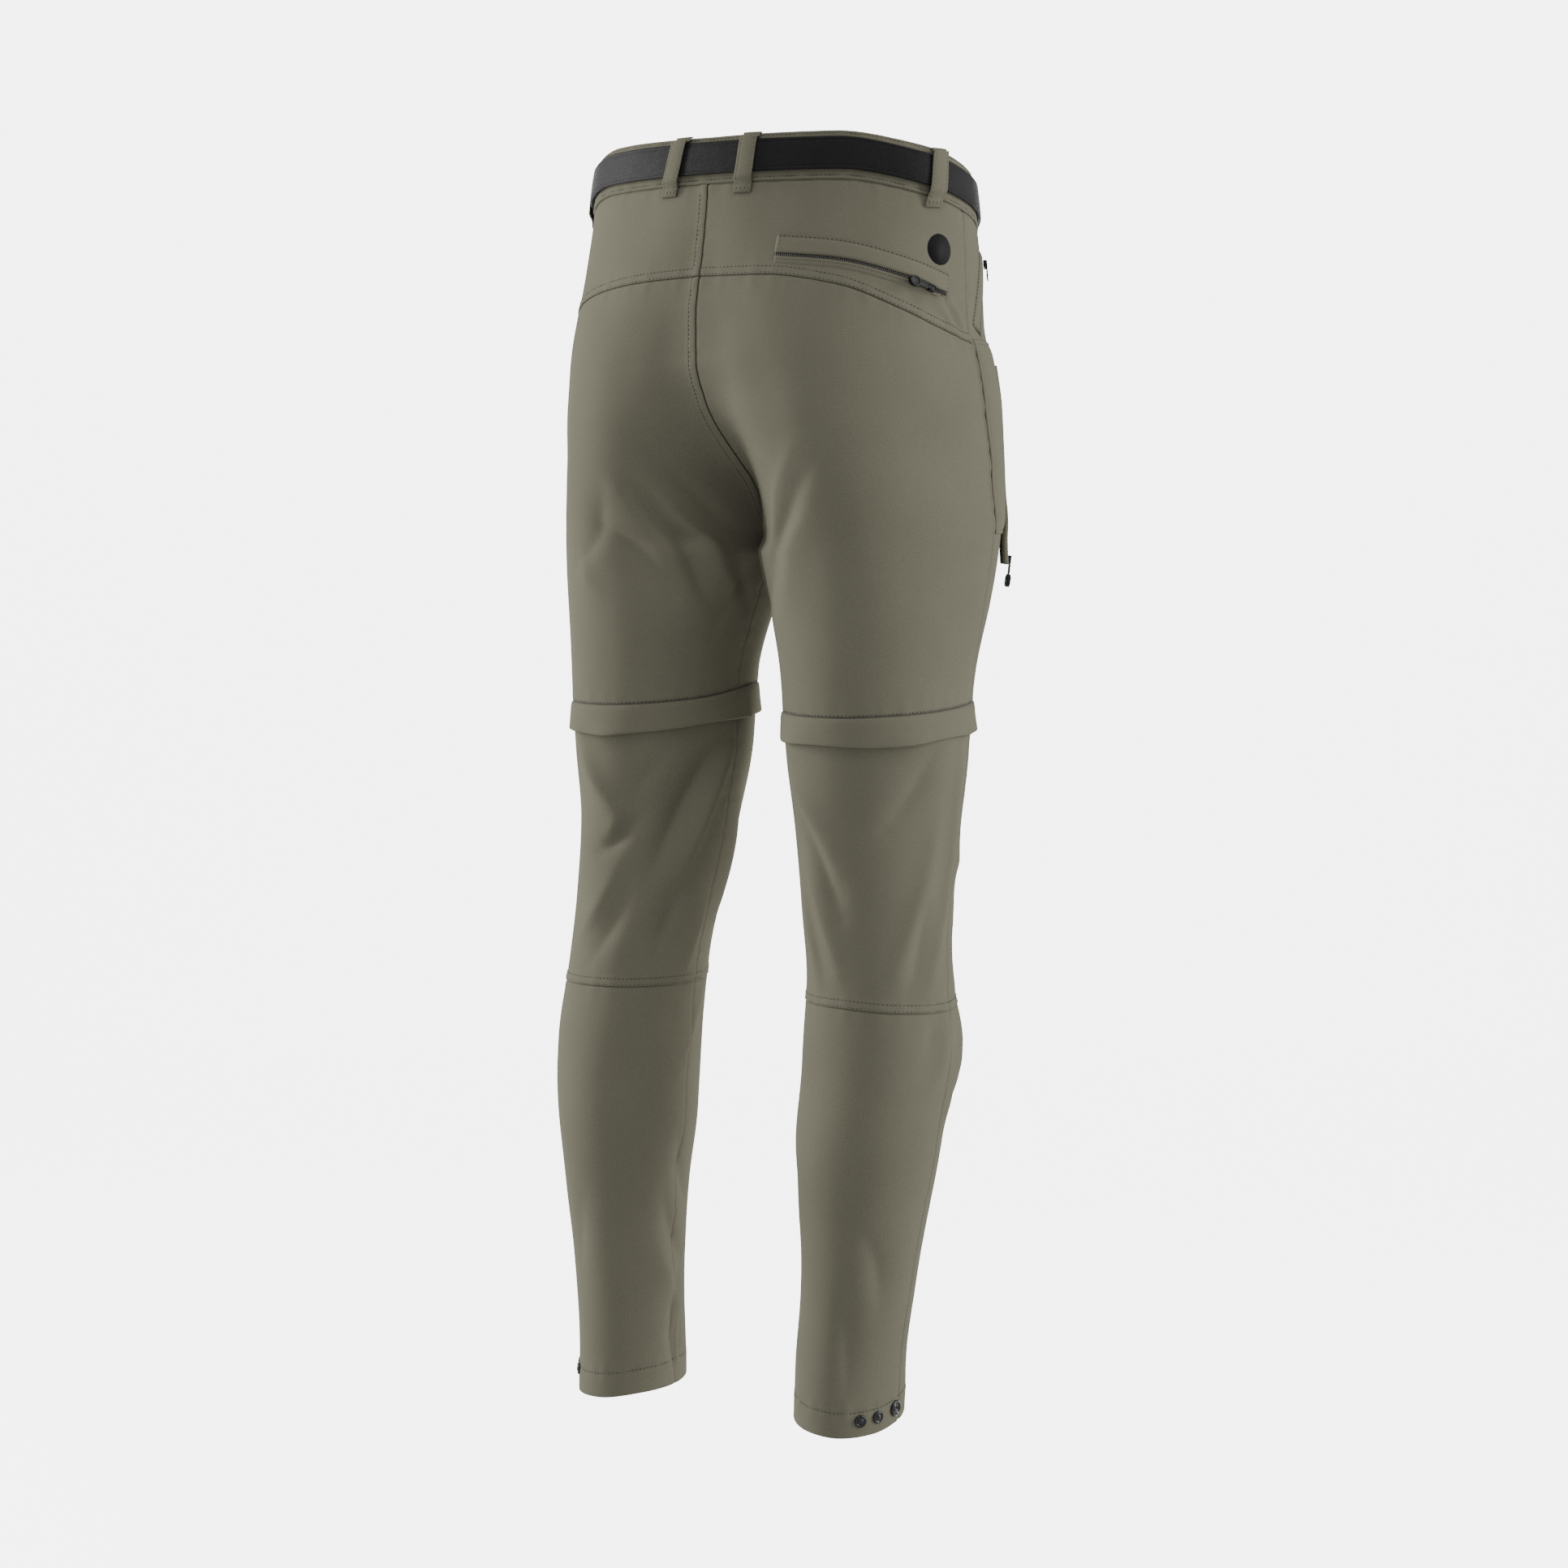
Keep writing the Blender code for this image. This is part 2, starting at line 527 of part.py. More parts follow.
def belt_top(side, across):
    """Height of the belt's upper edge."""
    return belt_bottom(side, across) + BELT_WIDTH


def belt_bottom(side, across):
    """Height of the belt's lower edge."""
    return float(line_height(side, "waist_seam", across)) + BELT_ABOVE_SEAM


def waist_places(first, last):
    """Places round the waist from first to last, on the columns of the panels below."""
    fractions = np.linspace(0.0, 1.0, 2 * PANEL_COLUMNS + 1)
    half = half_across("round", fractions, 0.0)
    whole = np.r_[-half[::-1], half[1:]]
    inside = whole[(whole > first + 0.01) & (whole < last - 0.01)]
    return np.r_[first, inside, last]


def waistband(cloth):
    """One doubled strip, whose right end passes under the left end at centre front."""
    places = waist_places(-1.0, 1.0)
    lap = np.array([-1.0 - BAND_LAP, -1.0 - BAND_LAP / 2.0])
    places[-1] -= SEAM_GAP / GIRTHS[0]
    lifts = np.full(len(places), BAND_PROUD)
    step_in = BAND_THICKNESS + LYING_GAP
    lifts[places < -0.99] -= step_in
    places = np.r_[lap, places]
    lifts = np.r_[np.full(len(lap), BAND_PROUD - step_in), lifts]
    waist_strip("waistband", places, lifts, band_top, band_bottom, 2, BAND_THICKNESS, cloth)


def belt(leather, metal):
    """The strap, whose tip lies over its other end, and the wire buckle with its prong."""
    lift = BAND_PROUD + LYING_GAP + BELT_THICKNESS
    over = BELT_THICKNESS + LYING_GAP
    places = np.r_[waist_places(BELT_END_PLACE, 0.99), np.linspace(1.02, BELT_TIP_PLACE, 4)]
    lifts = lift + over * np.clip((places - BELT_LAP_START) / BELT_LAP_RISE, 0.0, 1.0)
    waist_strip("belt", places, lifts, belt_top, belt_bottom, 2, BELT_THICKNESS, leather)

    middle = belt_bottom("left", 1.0) + BELT_WIDTH / 2.0
    stand_off = lift + over + LYING_GAP + BUCKLE_WIRE
    centre, out = on_cloth("left", 1.0, middle, stand_off)
    upward = on_cloth("left", 1.0, middle + 0.005, stand_off)[0] - centre
    frame = frame_at(centre, out, -upward)
    corners = rounded_rectangle(BUCKLE_WIDTH, BUCKLE_HEIGHT, BUCKLE_CORNER, 3)
    wire_ring("belt_buckle", [frame @ Vector((x, y, 0.0)) for x, y in corners], BUCKLE_WIRE, metal)
    reach = BUCKLE_WIDTH / 2.0 - BUCKLE_WIRE - SEAM_GAP
    prong = bmesh.new()
    bmesh.ops.create_cone(prong, cap_ends=True, segments=8, radius1=PRONG_RADIUS, radius2=PRONG_RADIUS,
                          depth=2.0 * reach, matrix=frame @ Matrix.Rotation(math.pi / 2.0, 4, "Y"))
    add_object("belt_prong", prong, metal)


def frame_at(origin, out, along):
    """A placement with z along out and y along the direction given, made square to it."""
    out = Vector(out).normalized()
    along = Vector(along)
    along = (along - out * along.dot(out)).normalized()
    placed = Matrix((along.cross(out), along, out)).transposed().to_4x4()
    placed.translation = Vector(origin)
    return placed


def rounded_rectangle(width, height, radius, steps):
    """Corner arcs of a rectangle, as a closed run of points."""
    points = []
    for corner, (sign_x, sign_y) in enumerate(((1, 1), (-1, 1), (-1, -1), (1, -1))):
        for step in range(steps + 1):
            angle = math.pi / 2.0 * (corner + step / steps)
            points.append((sign_x * (width / 2.0 - radius) + radius * math.cos(angle),
                           sign_y * (height / 2.0 - radius) + radius * math.sin(angle)))
    return points


def wire_ring(name, points, radius, material):
    """A closed ring of round wire through the points."""
    curve = bpy.data.curves.new(name, "CURVE")
    curve.dimensions = "3D"
    curve.bevel_depth = radius
    curve.bevel_resolution = 2
    run = curve.splines.new("POLY")
    run.points.add(len(points) - 1)
    for point, place in zip(run.points, points):
        point.co = (*place, 1.0)
    run.use_cyclic_u = True
    curve.materials.append(material)
    piece = bpy.data.objects.new(name, curve)
    TROUSERS.objects.link(piece)
    return piece


def belt_loops(cloth):
    """Loops caught at the band's top edge and sewn down below its seam, standing over the belt."""
    over_belt = BAND_PROUD + BELT_THICKNESS + 2.0 * LYING_GAP
    for name, side, top_across, bottom_across in BELT_LOOPS:
        belt_low = belt_bottom(side, bottom_across)
        profile = (
            # height, lift of the inner face
            (band_top(side, top_across), BAND_PROUD + LYING_GAP),
            (belt_low + BELT_WIDTH + LOOP_EASE, over_belt),
            (belt_low - LOOP_EASE, over_belt),
            (belt_low + LOOP_FOOT / 2.0 - LOOP_DROP, BAND_PROUD + LYING_GAP),
            (belt_low - LOOP_DROP, LYING_GAP),
        )
        shares = np.linspace(0.0, 1.0, len(profile))[:, None]
        heights = np.array([row[0] for row in profile])[:, None] + np.zeros((1, 3))
        lifts = np.array([row[1] for row in profile])[:, None] + LOOP_THICKNESS
        reach = LOOP_WIDTH / 2.0 / GIRTHS[0] * np.array([-1.0, 0.0, 1.0])
        across = top_across + shares * (bottom_across - top_across) + reach[None, :]
        cloth_wall(name, side, across, heights, cloth, lifts, LOOP_THICKNESS)


def strip(name, side, route, near, far, lift_near, lift_far, rows, thickness, material, end_lift=0.0):
    """A strip along a route of (place across, height) stops, between two offsets beside the route.

    end_lift is how far its last quarter rises off the cloth.
    """
    route = np.array(route)
    stops = np.linspace(0.0, 1.0, len(route))
    shares = np.linspace(0.0, 1.0, rows + 1)
    across = curve_through(stops, route[:, 0], shares)
    heights = curve_through(stops, route[:, 1], shares)
    girth = girth_at(heights)
    run = np.stack([np.gradient(across) * girth, np.gradient(heights)], axis=1)
    run /= np.linalg.norm(run, axis=1, keepdims=True)
    beside = np.linspace(near, far, 3)[None, :]
    grid_across = across[:, None] + beside * (-run[:, 1:2]) / girth[:, None]
    grid_heights = heights[:, None] + beside * run[:, 0:1]
    rise = end_lift * np.clip((shares - 0.75) / 0.25, 0.0, 1.0)[:, None] ** 2
    lifts = np.linspace(lift_near, lift_far, 3)[None, :] + rise
    return cloth_wall(name, side, grid_across, grid_heights, material, lifts, thickness)


def zip_slider(name, frame, dark):
    """A slider with a channel along y, open upwards, in which the pull's neck turns."""
    half = SLIDER_WIDTH / 2.0
    inner = half - SLIDER_CHEEK
    across_edges = (-half, -inner, inner, half)
    height_edges = (0.0, SLIDER_BASE, SLIDER_HEIGHT)
    body = bmesh.new()
    bmesh.ops.create_grid(body, x_segments=3, y_segments=2, size=1.0)
    channel = [face for face in body.faces if face.calc_center_median().y > 0.0
               and abs(face.calc_center_median().x) < 0.1]
    bmesh.ops.delete(body, geom=channel, context="FACES")
    for vertex in body.verts:
        column = round((vertex.co.x + 1.0) * 1.5)
        row = round(vertex.co.y + 1.0)
        vertex.co = (across_edges[column], -SLIDER_LENGTH / 2.0, height_edges[row])
    grown = bmesh.ops.extrude_face_region(body, geom=body.faces[:])["geom"]
    ends = [item for item in grown if isinstance(item, bmesh.types.BMVert)]
    bmesh.ops.translate(body, verts=ends, vec=(0.0, SLIDER_LENGTH, 0.0))
    bmesh.ops.transform(body, matrix=frame, verts=body.verts)
    add_object(name, body, dark)


def pull_tab(name, frame, dark):
    """A pull tab with a round end, whose neck turns about x through the slider's channel."""
    neck = PULL_NECK / 2.0
    half = PULL_WIDTH / 2.0
    outline = [(neck, -PULL_THICKNESS / 2.0), (neck, PULL_REACH), (half, PULL_REACH + neck)]
    bend = PULL_REACH + PULL_LENGTH - half
    for step in range(9):
        angle = math.pi * step / 8.0
        outline.append((half * math.cos(angle), bend + half * math.sin(angle)))
    outline += [(-half, PULL_REACH + neck), (-neck, PULL_REACH), (-neck, -PULL_THICKNESS / 2.0)]
    body = bmesh.new()
    face = body.faces.new([body.verts.new((x, y, -PULL_THICKNESS / 2.0)) for x, y in outline])
    grown = bmesh.ops.extrude_face_region(body, geom=[face])["geom"]
    ends = [item for item in grown if isinstance(item, bmesh.types.BMVert)]
    bmesh.ops.translate(body, verts=ends, vec=(0.0, 0.0, PULL_THICKNESS))
    piece = add_object(name, body, dark)
    piece.matrix_world = frame
    return piece


def slider_with_pull(name, side, place, height, aim, lift, dark):
    """A slider on the tape with its pull tab. aim is the (place across, height) the tab points to."""
    seat, out = on_cloth(side, place, height, lift + LYING_GAP)
    target = on_cloth(side, aim[0], aim[1], lift + LYING_GAP)[0]
    frame = frame_at(seat, out, target - seat)
    zip_slider(f"{name}_slider", frame, dark)
    axis_height = SLIDER_BASE + 2.0 * SEAM_GAP + PULL_THICKNESS / 2.0
    pull_tab(f"{name}_pull", frame @ Matrix.Translation((0.0, 0.0, axis_height)), dark)


def on_tape():
    """How far a zip tape's outer face stands off the cloth below it."""
    return LYING_GAP + TAPE_THICKNESS


def back_pocket(cloth, tape, dark):
    """The zipped welt pocket on the right side of the yoke."""
    welt = LYING_GAP + CLOTH_THICKNESS
    raised = welt + TAPE_THICKNESS + LYING_GAP
    strip("back_pocket_welt", "right", BACK_POCKET_EDGE, WELT_HEIGHT, 0.0, welt, raised, 12, CLOTH_THICKNESS,
          cloth)
    strip("back_pocket_zip", "right", BACK_POCKET_EDGE, 0.002, -0.008, on_tape(), on_tape(), 12,
          TAPE_THICKNESS, tape)
    slider_with_pull("back_pocket", "right", *BACK_POCKET_SLIDER, BACK_POCKET_AIM, on_tape(), dark)


def hand_pocket(side, cloth, tape, dark):
    """The slanted zipped pocket beside the side seam."""
    welt = LYING_GAP + CLOTH_THICKNESS
    raised = welt + TAPE_THICKNESS + LYING_GAP
    strip(f"hand_pocket_welt_{side}", side, HAND_POCKET_EDGE, -0.010, 0.0, welt, raised, 6, CLOTH_THICKNESS,
          cloth)
    strip(f"hand_pocket_zip_{side}", side, HAND_POCKET_EDGE, -0.002, 0.007, on_tape(), on_tape(), 6,
          TAPE_THICKNESS, tape)
    slider_with_pull(f"hand_pocket_{side}", side, *HAND_POCKET_SLIDER, HAND_POCKET_AIM, on_tape(), dark)


def thigh_pocket(cloth, tape, dark):
    """The patch pocket on the right front thigh, and the zip that runs down it and stands off below."""
    rows = 14
    columns = np.r_[THIGH_POCKET_SETBACK, np.arange(1, THIGH_POCKET_COLUMNS + 1)]
    across_share = ((columns - columns[0]) / (columns[-1] - columns[0]))[None, :]
    down_share = np.linspace(0.0, 1.0, rows + 1)[:, None]
    heights = THIGH_POCKET_TOP + down_share * (THIGH_POCKET_BOTTOM - THIGH_POCKET_TOP) + 0.0 * across_share
    across = half_across("front", columns[None, :] / PANEL_COLUMNS, heights)
    bulge = THIGH_POCKET_BULGE * np.sin(math.pi * across_share) * np.sin(math.pi * down_share)
    patch = LYING_GAP + SEAM_GAP + CLOTH_THICKNESS
    cloth_wall("thigh_pocket", "right", across, heights, cloth, patch + bulge)
    stand_off = patch + THIGH_POCKET_BULGE + LYING_GAP / 2.0 + TAPE_THICKNESS
    strip("thigh_zip", "right", THIGH_ZIP_ROUTE, -0.005, 0.005, stand_off, stand_off, 10, TAPE_THICKNESS, tape,
          end_lift=THIGH_ZIP_RISE)
    slider_with_pull("thigh_pocket", "right", *THIGH_SLIDER, THIGH_AIM, stand_off + THIGH_ZIP_RISE, dark)


def disc(name, side, place, height, radius, lift, thickness, material, segments=20):
    """A flat round piece lying against the cloth."""
    centre, out = on_cloth(side, place, height, lift + thickness / 2.0)
    below = on_cloth(side, place, height - 0.005, lift + thickness / 2.0)[0]
    body = bmesh.new()
    bmesh.ops.create_cone(body, cap_ends=True, segments=segments, radius1=radius, radius2=radius * SNAP_TAPER,
                          depth=thickness, matrix=frame_at(centre, out, below - centre))
    add_object(name, body, material)


def badge(dark):
    """A plain round patch on the yoke, bent with the cloth."""
    side, place, height = BADGE_PLACE
    body = bmesh.new()
    bmesh.ops.create_circle(body, cap_ends=True, cap_tris=True, segments=24, radius=BADGE_RADIUS)
    girth = girth_at(height)
    grown = bmesh.ops.extrude_face_region(body, geom=body.faces[:])["geom"]
    outer = {item for item in grown if isinstance(item, bmesh.types.BMVert)}
    for vertex in body.verts:
        lift = LYING_GAP + (BADGE_THICKNESS if vertex in outer else 0.0)
        vertex.co = on_cloth(side, place + vertex.co.x / girth, height + vertex.co.y, lift)[0]
    add_object("badge", body, dark)


def fly(cloth):
    """The fly's outer strip, along centre front on the left."""
    rows, columns = 9, 3
    down_share = np.linspace(0.0, 1.0, rows + 1)[:, None]
    across_share = np.linspace(0.0, 1.0, columns + 1)[None, :]
    top = line_height("left", "waist_seam", 1.0 - FLY_WIDTH / GIRTHS[0] * (1.0 - across_share))
    top -= 2.0 * SEAM_GAP
    heights = top + down_share * (FLY_BOTTOM - top)
    girth = girth_at(heights)
    narrowing = 1.0 - 0.6 * down_share ** 3
    across = 1.0 - (SEAM_GAP / 2.0 + FLY_WIDTH * narrowing * (1.0 - across_share)) / girth
    cloth_wall("fly", "left", across, heights, cloth, LYING_GAP + CLOTH_THICKNESS)


for old in list(bpy.data.objects):
    bpy.data.objects.remove(old, do_unlink=True)
TROUSERS = bpy.data.collections.new("zip_off_trousers")
bpy.context.scene.collection.children.link(TROUSERS)

CLOTH = finish("cloth", (0.195, 0.187, 0.137), 0.75)
TAPE = finish("zip_tape", (0.06, 0.06, 0.05), 0.8)
LEATHER = finish("belt_leather", (0.012, 0.012, 0.014), 0.45)
METAL = finish("buckle_metal", (0.35, 0.35, 0.36), 0.3, 1.0)
DARK = finish("dark_plastic", (0.015, 0.015, 0.016), 0.4)

for each_side in ("left", "right"):
    sewn_panels(each_side, CLOTH)
    knee_join(each_side, CLOTH, TAPE)
    hand_pocket(each_side, CLOTH, TAPE, DARK)
    for number, (place, height, radius) in enumerate(SNAPS, 1):
        disc(f"hem_snap_{each_side}_{number}", each_side, place, height, radius, SNAP_GAP, SNAP_THICKNESS, DARK)
waistband(CLOTH)
belt(LEATHER, METAL)
belt_loops(CLOTH)
back_pocket(CLOTH, TAPE, DARK)
thigh_pocket(CLOTH, TAPE, DARK)
badge(DARK)
fly(CLOTH)
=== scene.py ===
"""Looks of the zip-off trousers, put together in the order they are sewn.

Metres, +Z up, front towards -Y, the wearer's right at -X. Cloth is placed by a side, a place across
(0 centre back or back inseam, 1 centre front or front inseam) and a height.
"""
import math

import bmesh
import bpy
import numpy as np
from mathutils import Matrix, Vector


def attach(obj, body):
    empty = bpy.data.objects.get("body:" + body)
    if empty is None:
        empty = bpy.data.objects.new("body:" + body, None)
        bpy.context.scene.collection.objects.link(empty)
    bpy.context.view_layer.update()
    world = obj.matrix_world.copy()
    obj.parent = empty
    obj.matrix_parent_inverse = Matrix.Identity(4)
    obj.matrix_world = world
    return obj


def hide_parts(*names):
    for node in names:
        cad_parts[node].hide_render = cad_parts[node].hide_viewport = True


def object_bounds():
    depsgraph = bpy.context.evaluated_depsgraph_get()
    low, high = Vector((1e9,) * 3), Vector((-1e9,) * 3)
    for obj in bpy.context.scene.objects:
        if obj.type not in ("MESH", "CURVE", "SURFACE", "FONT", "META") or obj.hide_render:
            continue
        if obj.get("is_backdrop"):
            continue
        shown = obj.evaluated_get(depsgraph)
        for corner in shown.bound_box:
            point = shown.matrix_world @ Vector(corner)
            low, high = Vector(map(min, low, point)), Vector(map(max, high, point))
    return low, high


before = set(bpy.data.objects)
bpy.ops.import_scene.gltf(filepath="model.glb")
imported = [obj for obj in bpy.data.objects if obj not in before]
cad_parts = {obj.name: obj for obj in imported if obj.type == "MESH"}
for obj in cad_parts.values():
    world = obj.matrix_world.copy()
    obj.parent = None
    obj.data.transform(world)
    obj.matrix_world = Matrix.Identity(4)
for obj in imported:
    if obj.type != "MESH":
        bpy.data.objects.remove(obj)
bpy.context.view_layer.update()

# Camera, at the photograph's angle behind the wearer's right hip.
AIM = Vector((0.0, 0.0, -0.47))
CAMERA_TURN = math.radians(212.0)
CAMERA_RISE = math.radians(5.2)
CAMERA_DISTANCE = 2.4
backward = Vector((math.sin(CAMERA_TURN) * math.cos(CAMERA_RISE),
                   -math.cos(CAMERA_TURN) * math.cos(CAMERA_RISE), math.sin(CAMERA_RISE)))
camera_data = bpy.data.cameras.new("camera")
camera_data.lens = 67.08
camera_data.sensor_width = 36.0
camera = bpy.data.objects.new("camera", camera_data)
camera.location = AIM + backward * CAMERA_DISTANCE
camera.rotation_euler = (-backward).to_track_quat("-Z", "Y").to_euler()
bpy.context.scene.collection.objects.link(camera)
bpy.context.scene.camera = camera

# Studio: a pale round floor whose rim sweeps up, tall soft boxes at the sides and a weak one above.
# Floor and sweep are plain matt paint that glows a little everywhere. A painted glow, with no lamp on it, makes the
# part behind the trousers bright.
FLOOR_HEIGHT = -1.35
FLOOR_RADIUS = 4.0
SWEEP_RADIUS = 2.5
WALL_TOP = 6.0
studio = bmesh.new()
rim = [studio.verts.new((0.001, 0.0, FLOOR_HEIGHT)), studio.verts.new((FLOOR_RADIUS, 0.0, FLOOR_HEIGHT))]
for step in range(1, 13):
    turn = math.pi / 2.0 * step / 12.0
    rim.append(studio.verts.new((FLOOR_RADIUS + SWEEP_RADIUS * math.sin(turn), 0.0,
                                 FLOOR_HEIGHT + SWEEP_RADIUS * (1.0 - math.cos(turn)))))
rim.append(studio.verts.new((FLOOR_RADIUS + SWEEP_RADIUS, 0.0, WALL_TOP)))
profile = [studio.edges.new(pair) for pair in zip(rim, rim[1:])]
bmesh.ops.spin(studio, geom=rim + profile, axis=(0, 0, 1), cent=(0, 0, 0), dvec=(0, 0, 0),
               angle=2.0 * math.pi, steps=96, use_merge=True)
bmesh.ops.recalc_face_normals(studio, faces=studio.faces)
studio_mesh = bpy.data.meshes.new("studio")
studio.to_mesh(studio_mesh)
studio.free()
studio_mesh.shade_smooth()
studio_floor = bpy.data.objects.new("studio", studio_mesh)
bpy.context.scene.collection.objects.link(studio_floor)
paint = bpy.data.materials.new("studio_paint")
paint.use_nodes = True
paint_shader = paint.node_tree.nodes["Principled BSDF"]
paint_shader.inputs["Base Color"].default_value = (0.30, 0.30, 0.30, 1.0)
paint_shader.inputs["Roughness"].default_value = 1.0
paint_shader.inputs["Specular IOR Level"].default_value = 0.0
paint_shader.inputs["Emission Color"].default_value = (1.0, 1.0, 1.0, 1.0)
paint_nodes, paint_links = paint.node_tree.nodes, paint.node_tree.links
# Painted glow: the paint emits 0.60 everywhere and up to 5.2 where the camera sees the studio past the trousers.
paint_place = paint_nodes.new("ShaderNodeTexCoord")
paint_ray = paint_nodes.new("ShaderNodeVectorMath")
paint_ray.operation = "SUBTRACT"
paint_ray.inputs[1].default_value = camera.location
paint_links.new(paint_place.outputs["Object"], paint_ray.inputs[0])
turned = camera.rotation_euler.to_matrix()
reach = []
for axis in (turned.col[0], turned.col[1], -backward):
    paint_dot = paint_nodes.new("ShaderNodeVectorMath")
    paint_dot.operation = "DOT_PRODUCT"
    paint_dot.inputs[1].default_value = axis
    paint_links.new(paint_ray.outputs["Vector"], paint_dot.inputs[0])
    reach.append(paint_dot.outputs["Value"])
shares = []
for side in reach[:2]:
    paint_share = paint_nodes.new("ShaderNodeMath")
    paint_share.operation = "DIVIDE"
    paint_links.new(side, paint_share.inputs[0])
    paint_links.new(reach[2], paint_share.inputs[1])
    paint_size = paint_nodes.new("ShaderNodeMath")
    paint_size.operation = "ABSOLUTE"
    paint_links.new(paint_share.outputs[0], paint_size.inputs[0])
    shares.append(paint_size.outputs[0])
paint_far = paint_nodes.new("ShaderNodeMath")
paint_far.operation = "MAXIMUM"
paint_links.new(shares[0], paint_far.inputs[0])
paint_links.new(shares[1], paint_far.inputs[1])
glow_in_view = paint_nodes.new("ShaderNodeMapRange")
glow_in_view.interpolation_type = "SMOOTHSTEP"
glow_in_view.inputs["From Min"].default_value = 0.275
glow_in_view.inputs["From Max"].default_value = 0.350
glow_in_view.inputs["To Min"].default_value = 1.0
glow_in_view.inputs["To Max"].default_value = 0.0
paint_links.new(paint_far.outputs[0], glow_in_view.inputs["Value"])
paint_behind = paint_nodes.new("ShaderNodeMath")
paint_behind.operation = "GREATER_THAN"
paint_links.new(reach[2], paint_behind.inputs[0])
paint_mask = paint_nodes.new("ShaderNodeMath")
paint_mask.operation = "MULTIPLY"
paint_links.new(glow_in_view.outputs["Result"], paint_mask.inputs[0])
paint_links.new(paint_behind.outputs[0], paint_mask.inputs[1])
paint_glow = paint_nodes.new("ShaderNodeMapRange")
paint_glow.inputs["To Min"].default_value = 0.60
paint_glow.inputs["To Max"].default_value = 5.2
paint_links.new(paint_mask.outputs[0], paint_glow.inputs["Value"])
paint_links.new(paint_glow.outputs["Result"], paint_shader.inputs["Emission Strength"])
studio_mesh.materials.append(paint)
studio_floor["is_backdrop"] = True

world = bpy.data.worlds.new("studio_air")
bpy.context.scene.world = world
world.use_nodes = True
world.node_tree.nodes["Background"].inputs["Color"].default_value = (1.0, 1.0, 1.0, 1.0)
world.node_tree.nodes["Background"].inputs["Strength"].default_value = 0.60

SOFT_BOXES = (
    # name, azimuth, elevation, distance, width, height, power
    ("box_right", 296.0, 10.0, 2.4, 0.6, 2.2, 82.0),
    ("box_left", 108.0, 12.0, 2.4, 0.6, 2.2, 118.0),
    ("box_above", 200.0, 64.0, 2.6, 1.0, 1.0, 30.0),
)
for name, azimuth, elevation, distance, width, height, power in SOFT_BOXES:
    turn, rise = math.radians(azimuth), math.radians(elevation)
    outward = Vector((math.sin(turn) * math.cos(rise), -math.cos(turn) * math.cos(rise), math.sin(rise)))
    lamp_data = bpy.data.lights.new(name, "AREA")
    lamp_data.shape = "RECTANGLE"
    lamp_data.size = width
    lamp_data.size_y = height
    lamp_data.energy = power
    lamp = bpy.data.objects.new(name, lamp_data)
    lamp.location = AIM + outward * distance
    lamp.rotation_euler = (-outward).to_track_quat("-Z", "Y").to_euler()
    bpy.context.scene.collection.objects.link(lamp)

# Cloth materials: matt stretch nylon in olive grey, a plain weave of about 30 threads a centimetre.
# The weave group is shared by the cloth and the darker zip tape.
weave = bpy.data.node_groups.new("weave", "ShaderNodeTree")
for name, kind, value in (("Threads per metre", "NodeSocketFloat", 1400.0),
                          ("Light thread", "NodeSocketColor", (0.2, 0.2, 0.2, 1.0)),
                          ("Dark thread", "NodeSocketColor", (0.1, 0.1, 0.1, 1.0)),
                          ("Mottle", "NodeSocketFloat", 0.5), ("Relief", "NodeSocketFloat", 0.2)):
    weave.interface.new_socket(name, in_out="INPUT", socket_type=kind).default_value = value
for name, kind in (("Color", "NodeSocketColor"), ("Roughness", "NodeSocketFloat"), ("Normal", "NodeSocketVector")):
    weave.interface.new_socket(name, in_out="OUTPUT", socket_type=kind)
wn, wl = weave.nodes, weave.links
weave_in = wn.new("NodeGroupInput")
weave_out = wn.new("NodeGroupOutput")
cut = wn.new("ShaderNodeUVMap")
cut.uv_map = "cut"
threads = []
for direction in ("X", "Y"):
    thread = wn.new("ShaderNodeTexWave")
    thread.wave_type = "BANDS"
    thread.bands_direction = direction
    thread.inputs["Distortion"].default_value = 1.2
    thread.inputs["Detail"].default_value = 1.0
    thread.inputs["Detail Scale"].default_value = 2.0
    scale = wn.new("ShaderNodeMath")
    scale.operation = "MULTIPLY"
    scale.inputs[1].default_value = 0.1592
    wl.new(weave_in.outputs["Threads per metre"], scale.inputs[0])
    wl.new(scale.outputs[0], thread.inputs["Scale"])
    wl.new(cut.outputs["UV"], thread.inputs["Vector"])
    threads.append(thread)
crossing = wn.new("ShaderNodeMath")
crossing.operation = "MULTIPLY"
wl.new(threads[0].outputs["Fac"], crossing.inputs[0])
wl.new(threads[1].outputs["Fac"], crossing.inputs[1])
heather = wn.new("ShaderNodeTexNoise")
heather.inputs["Scale"].default_value = 900.0
heather.inputs["Detail"].default_value = 3.0
wl.new(cut.outputs["UV"], heather.inputs["Vector"])
cloudy = wn.new("ShaderNodeTexNoise")
cloudy.inputs["Scale"].default_value = 14.0
cloudy.inputs["Detail"].default_value = 4.0
where = wn.new("ShaderNodeTexCoord")
wl.new(where.outputs["Object"], cloudy.inputs["Vector"])
mottled = wn.new("ShaderNodeMix")
mottled.data_type = "FLOAT"
wl.new(weave_in.outputs["Mottle"], mottled.inputs["Factor"])
wl.new(crossing.outputs[0], mottled.inputs["A"])
wl.new(heather.outputs["Fac"], mottled.inputs["B"])
softened = wn.new("ShaderNodeMix")
softened.data_type = "FLOAT"
softened.inputs["Factor"].default_value = 0.35
wl.new(mottled.outputs["Result"], softened.inputs["A"])
wl.new(cloudy.outputs["Fac"], softened.inputs["B"])
dyed = wn.new("ShaderNodeMix")
dyed.data_type = "RGBA"
wl.new(softened.outputs["Result"], dyed.inputs["Factor"])
wl.new(weave_in.outputs["Dark thread"], dyed.inputs["A"])
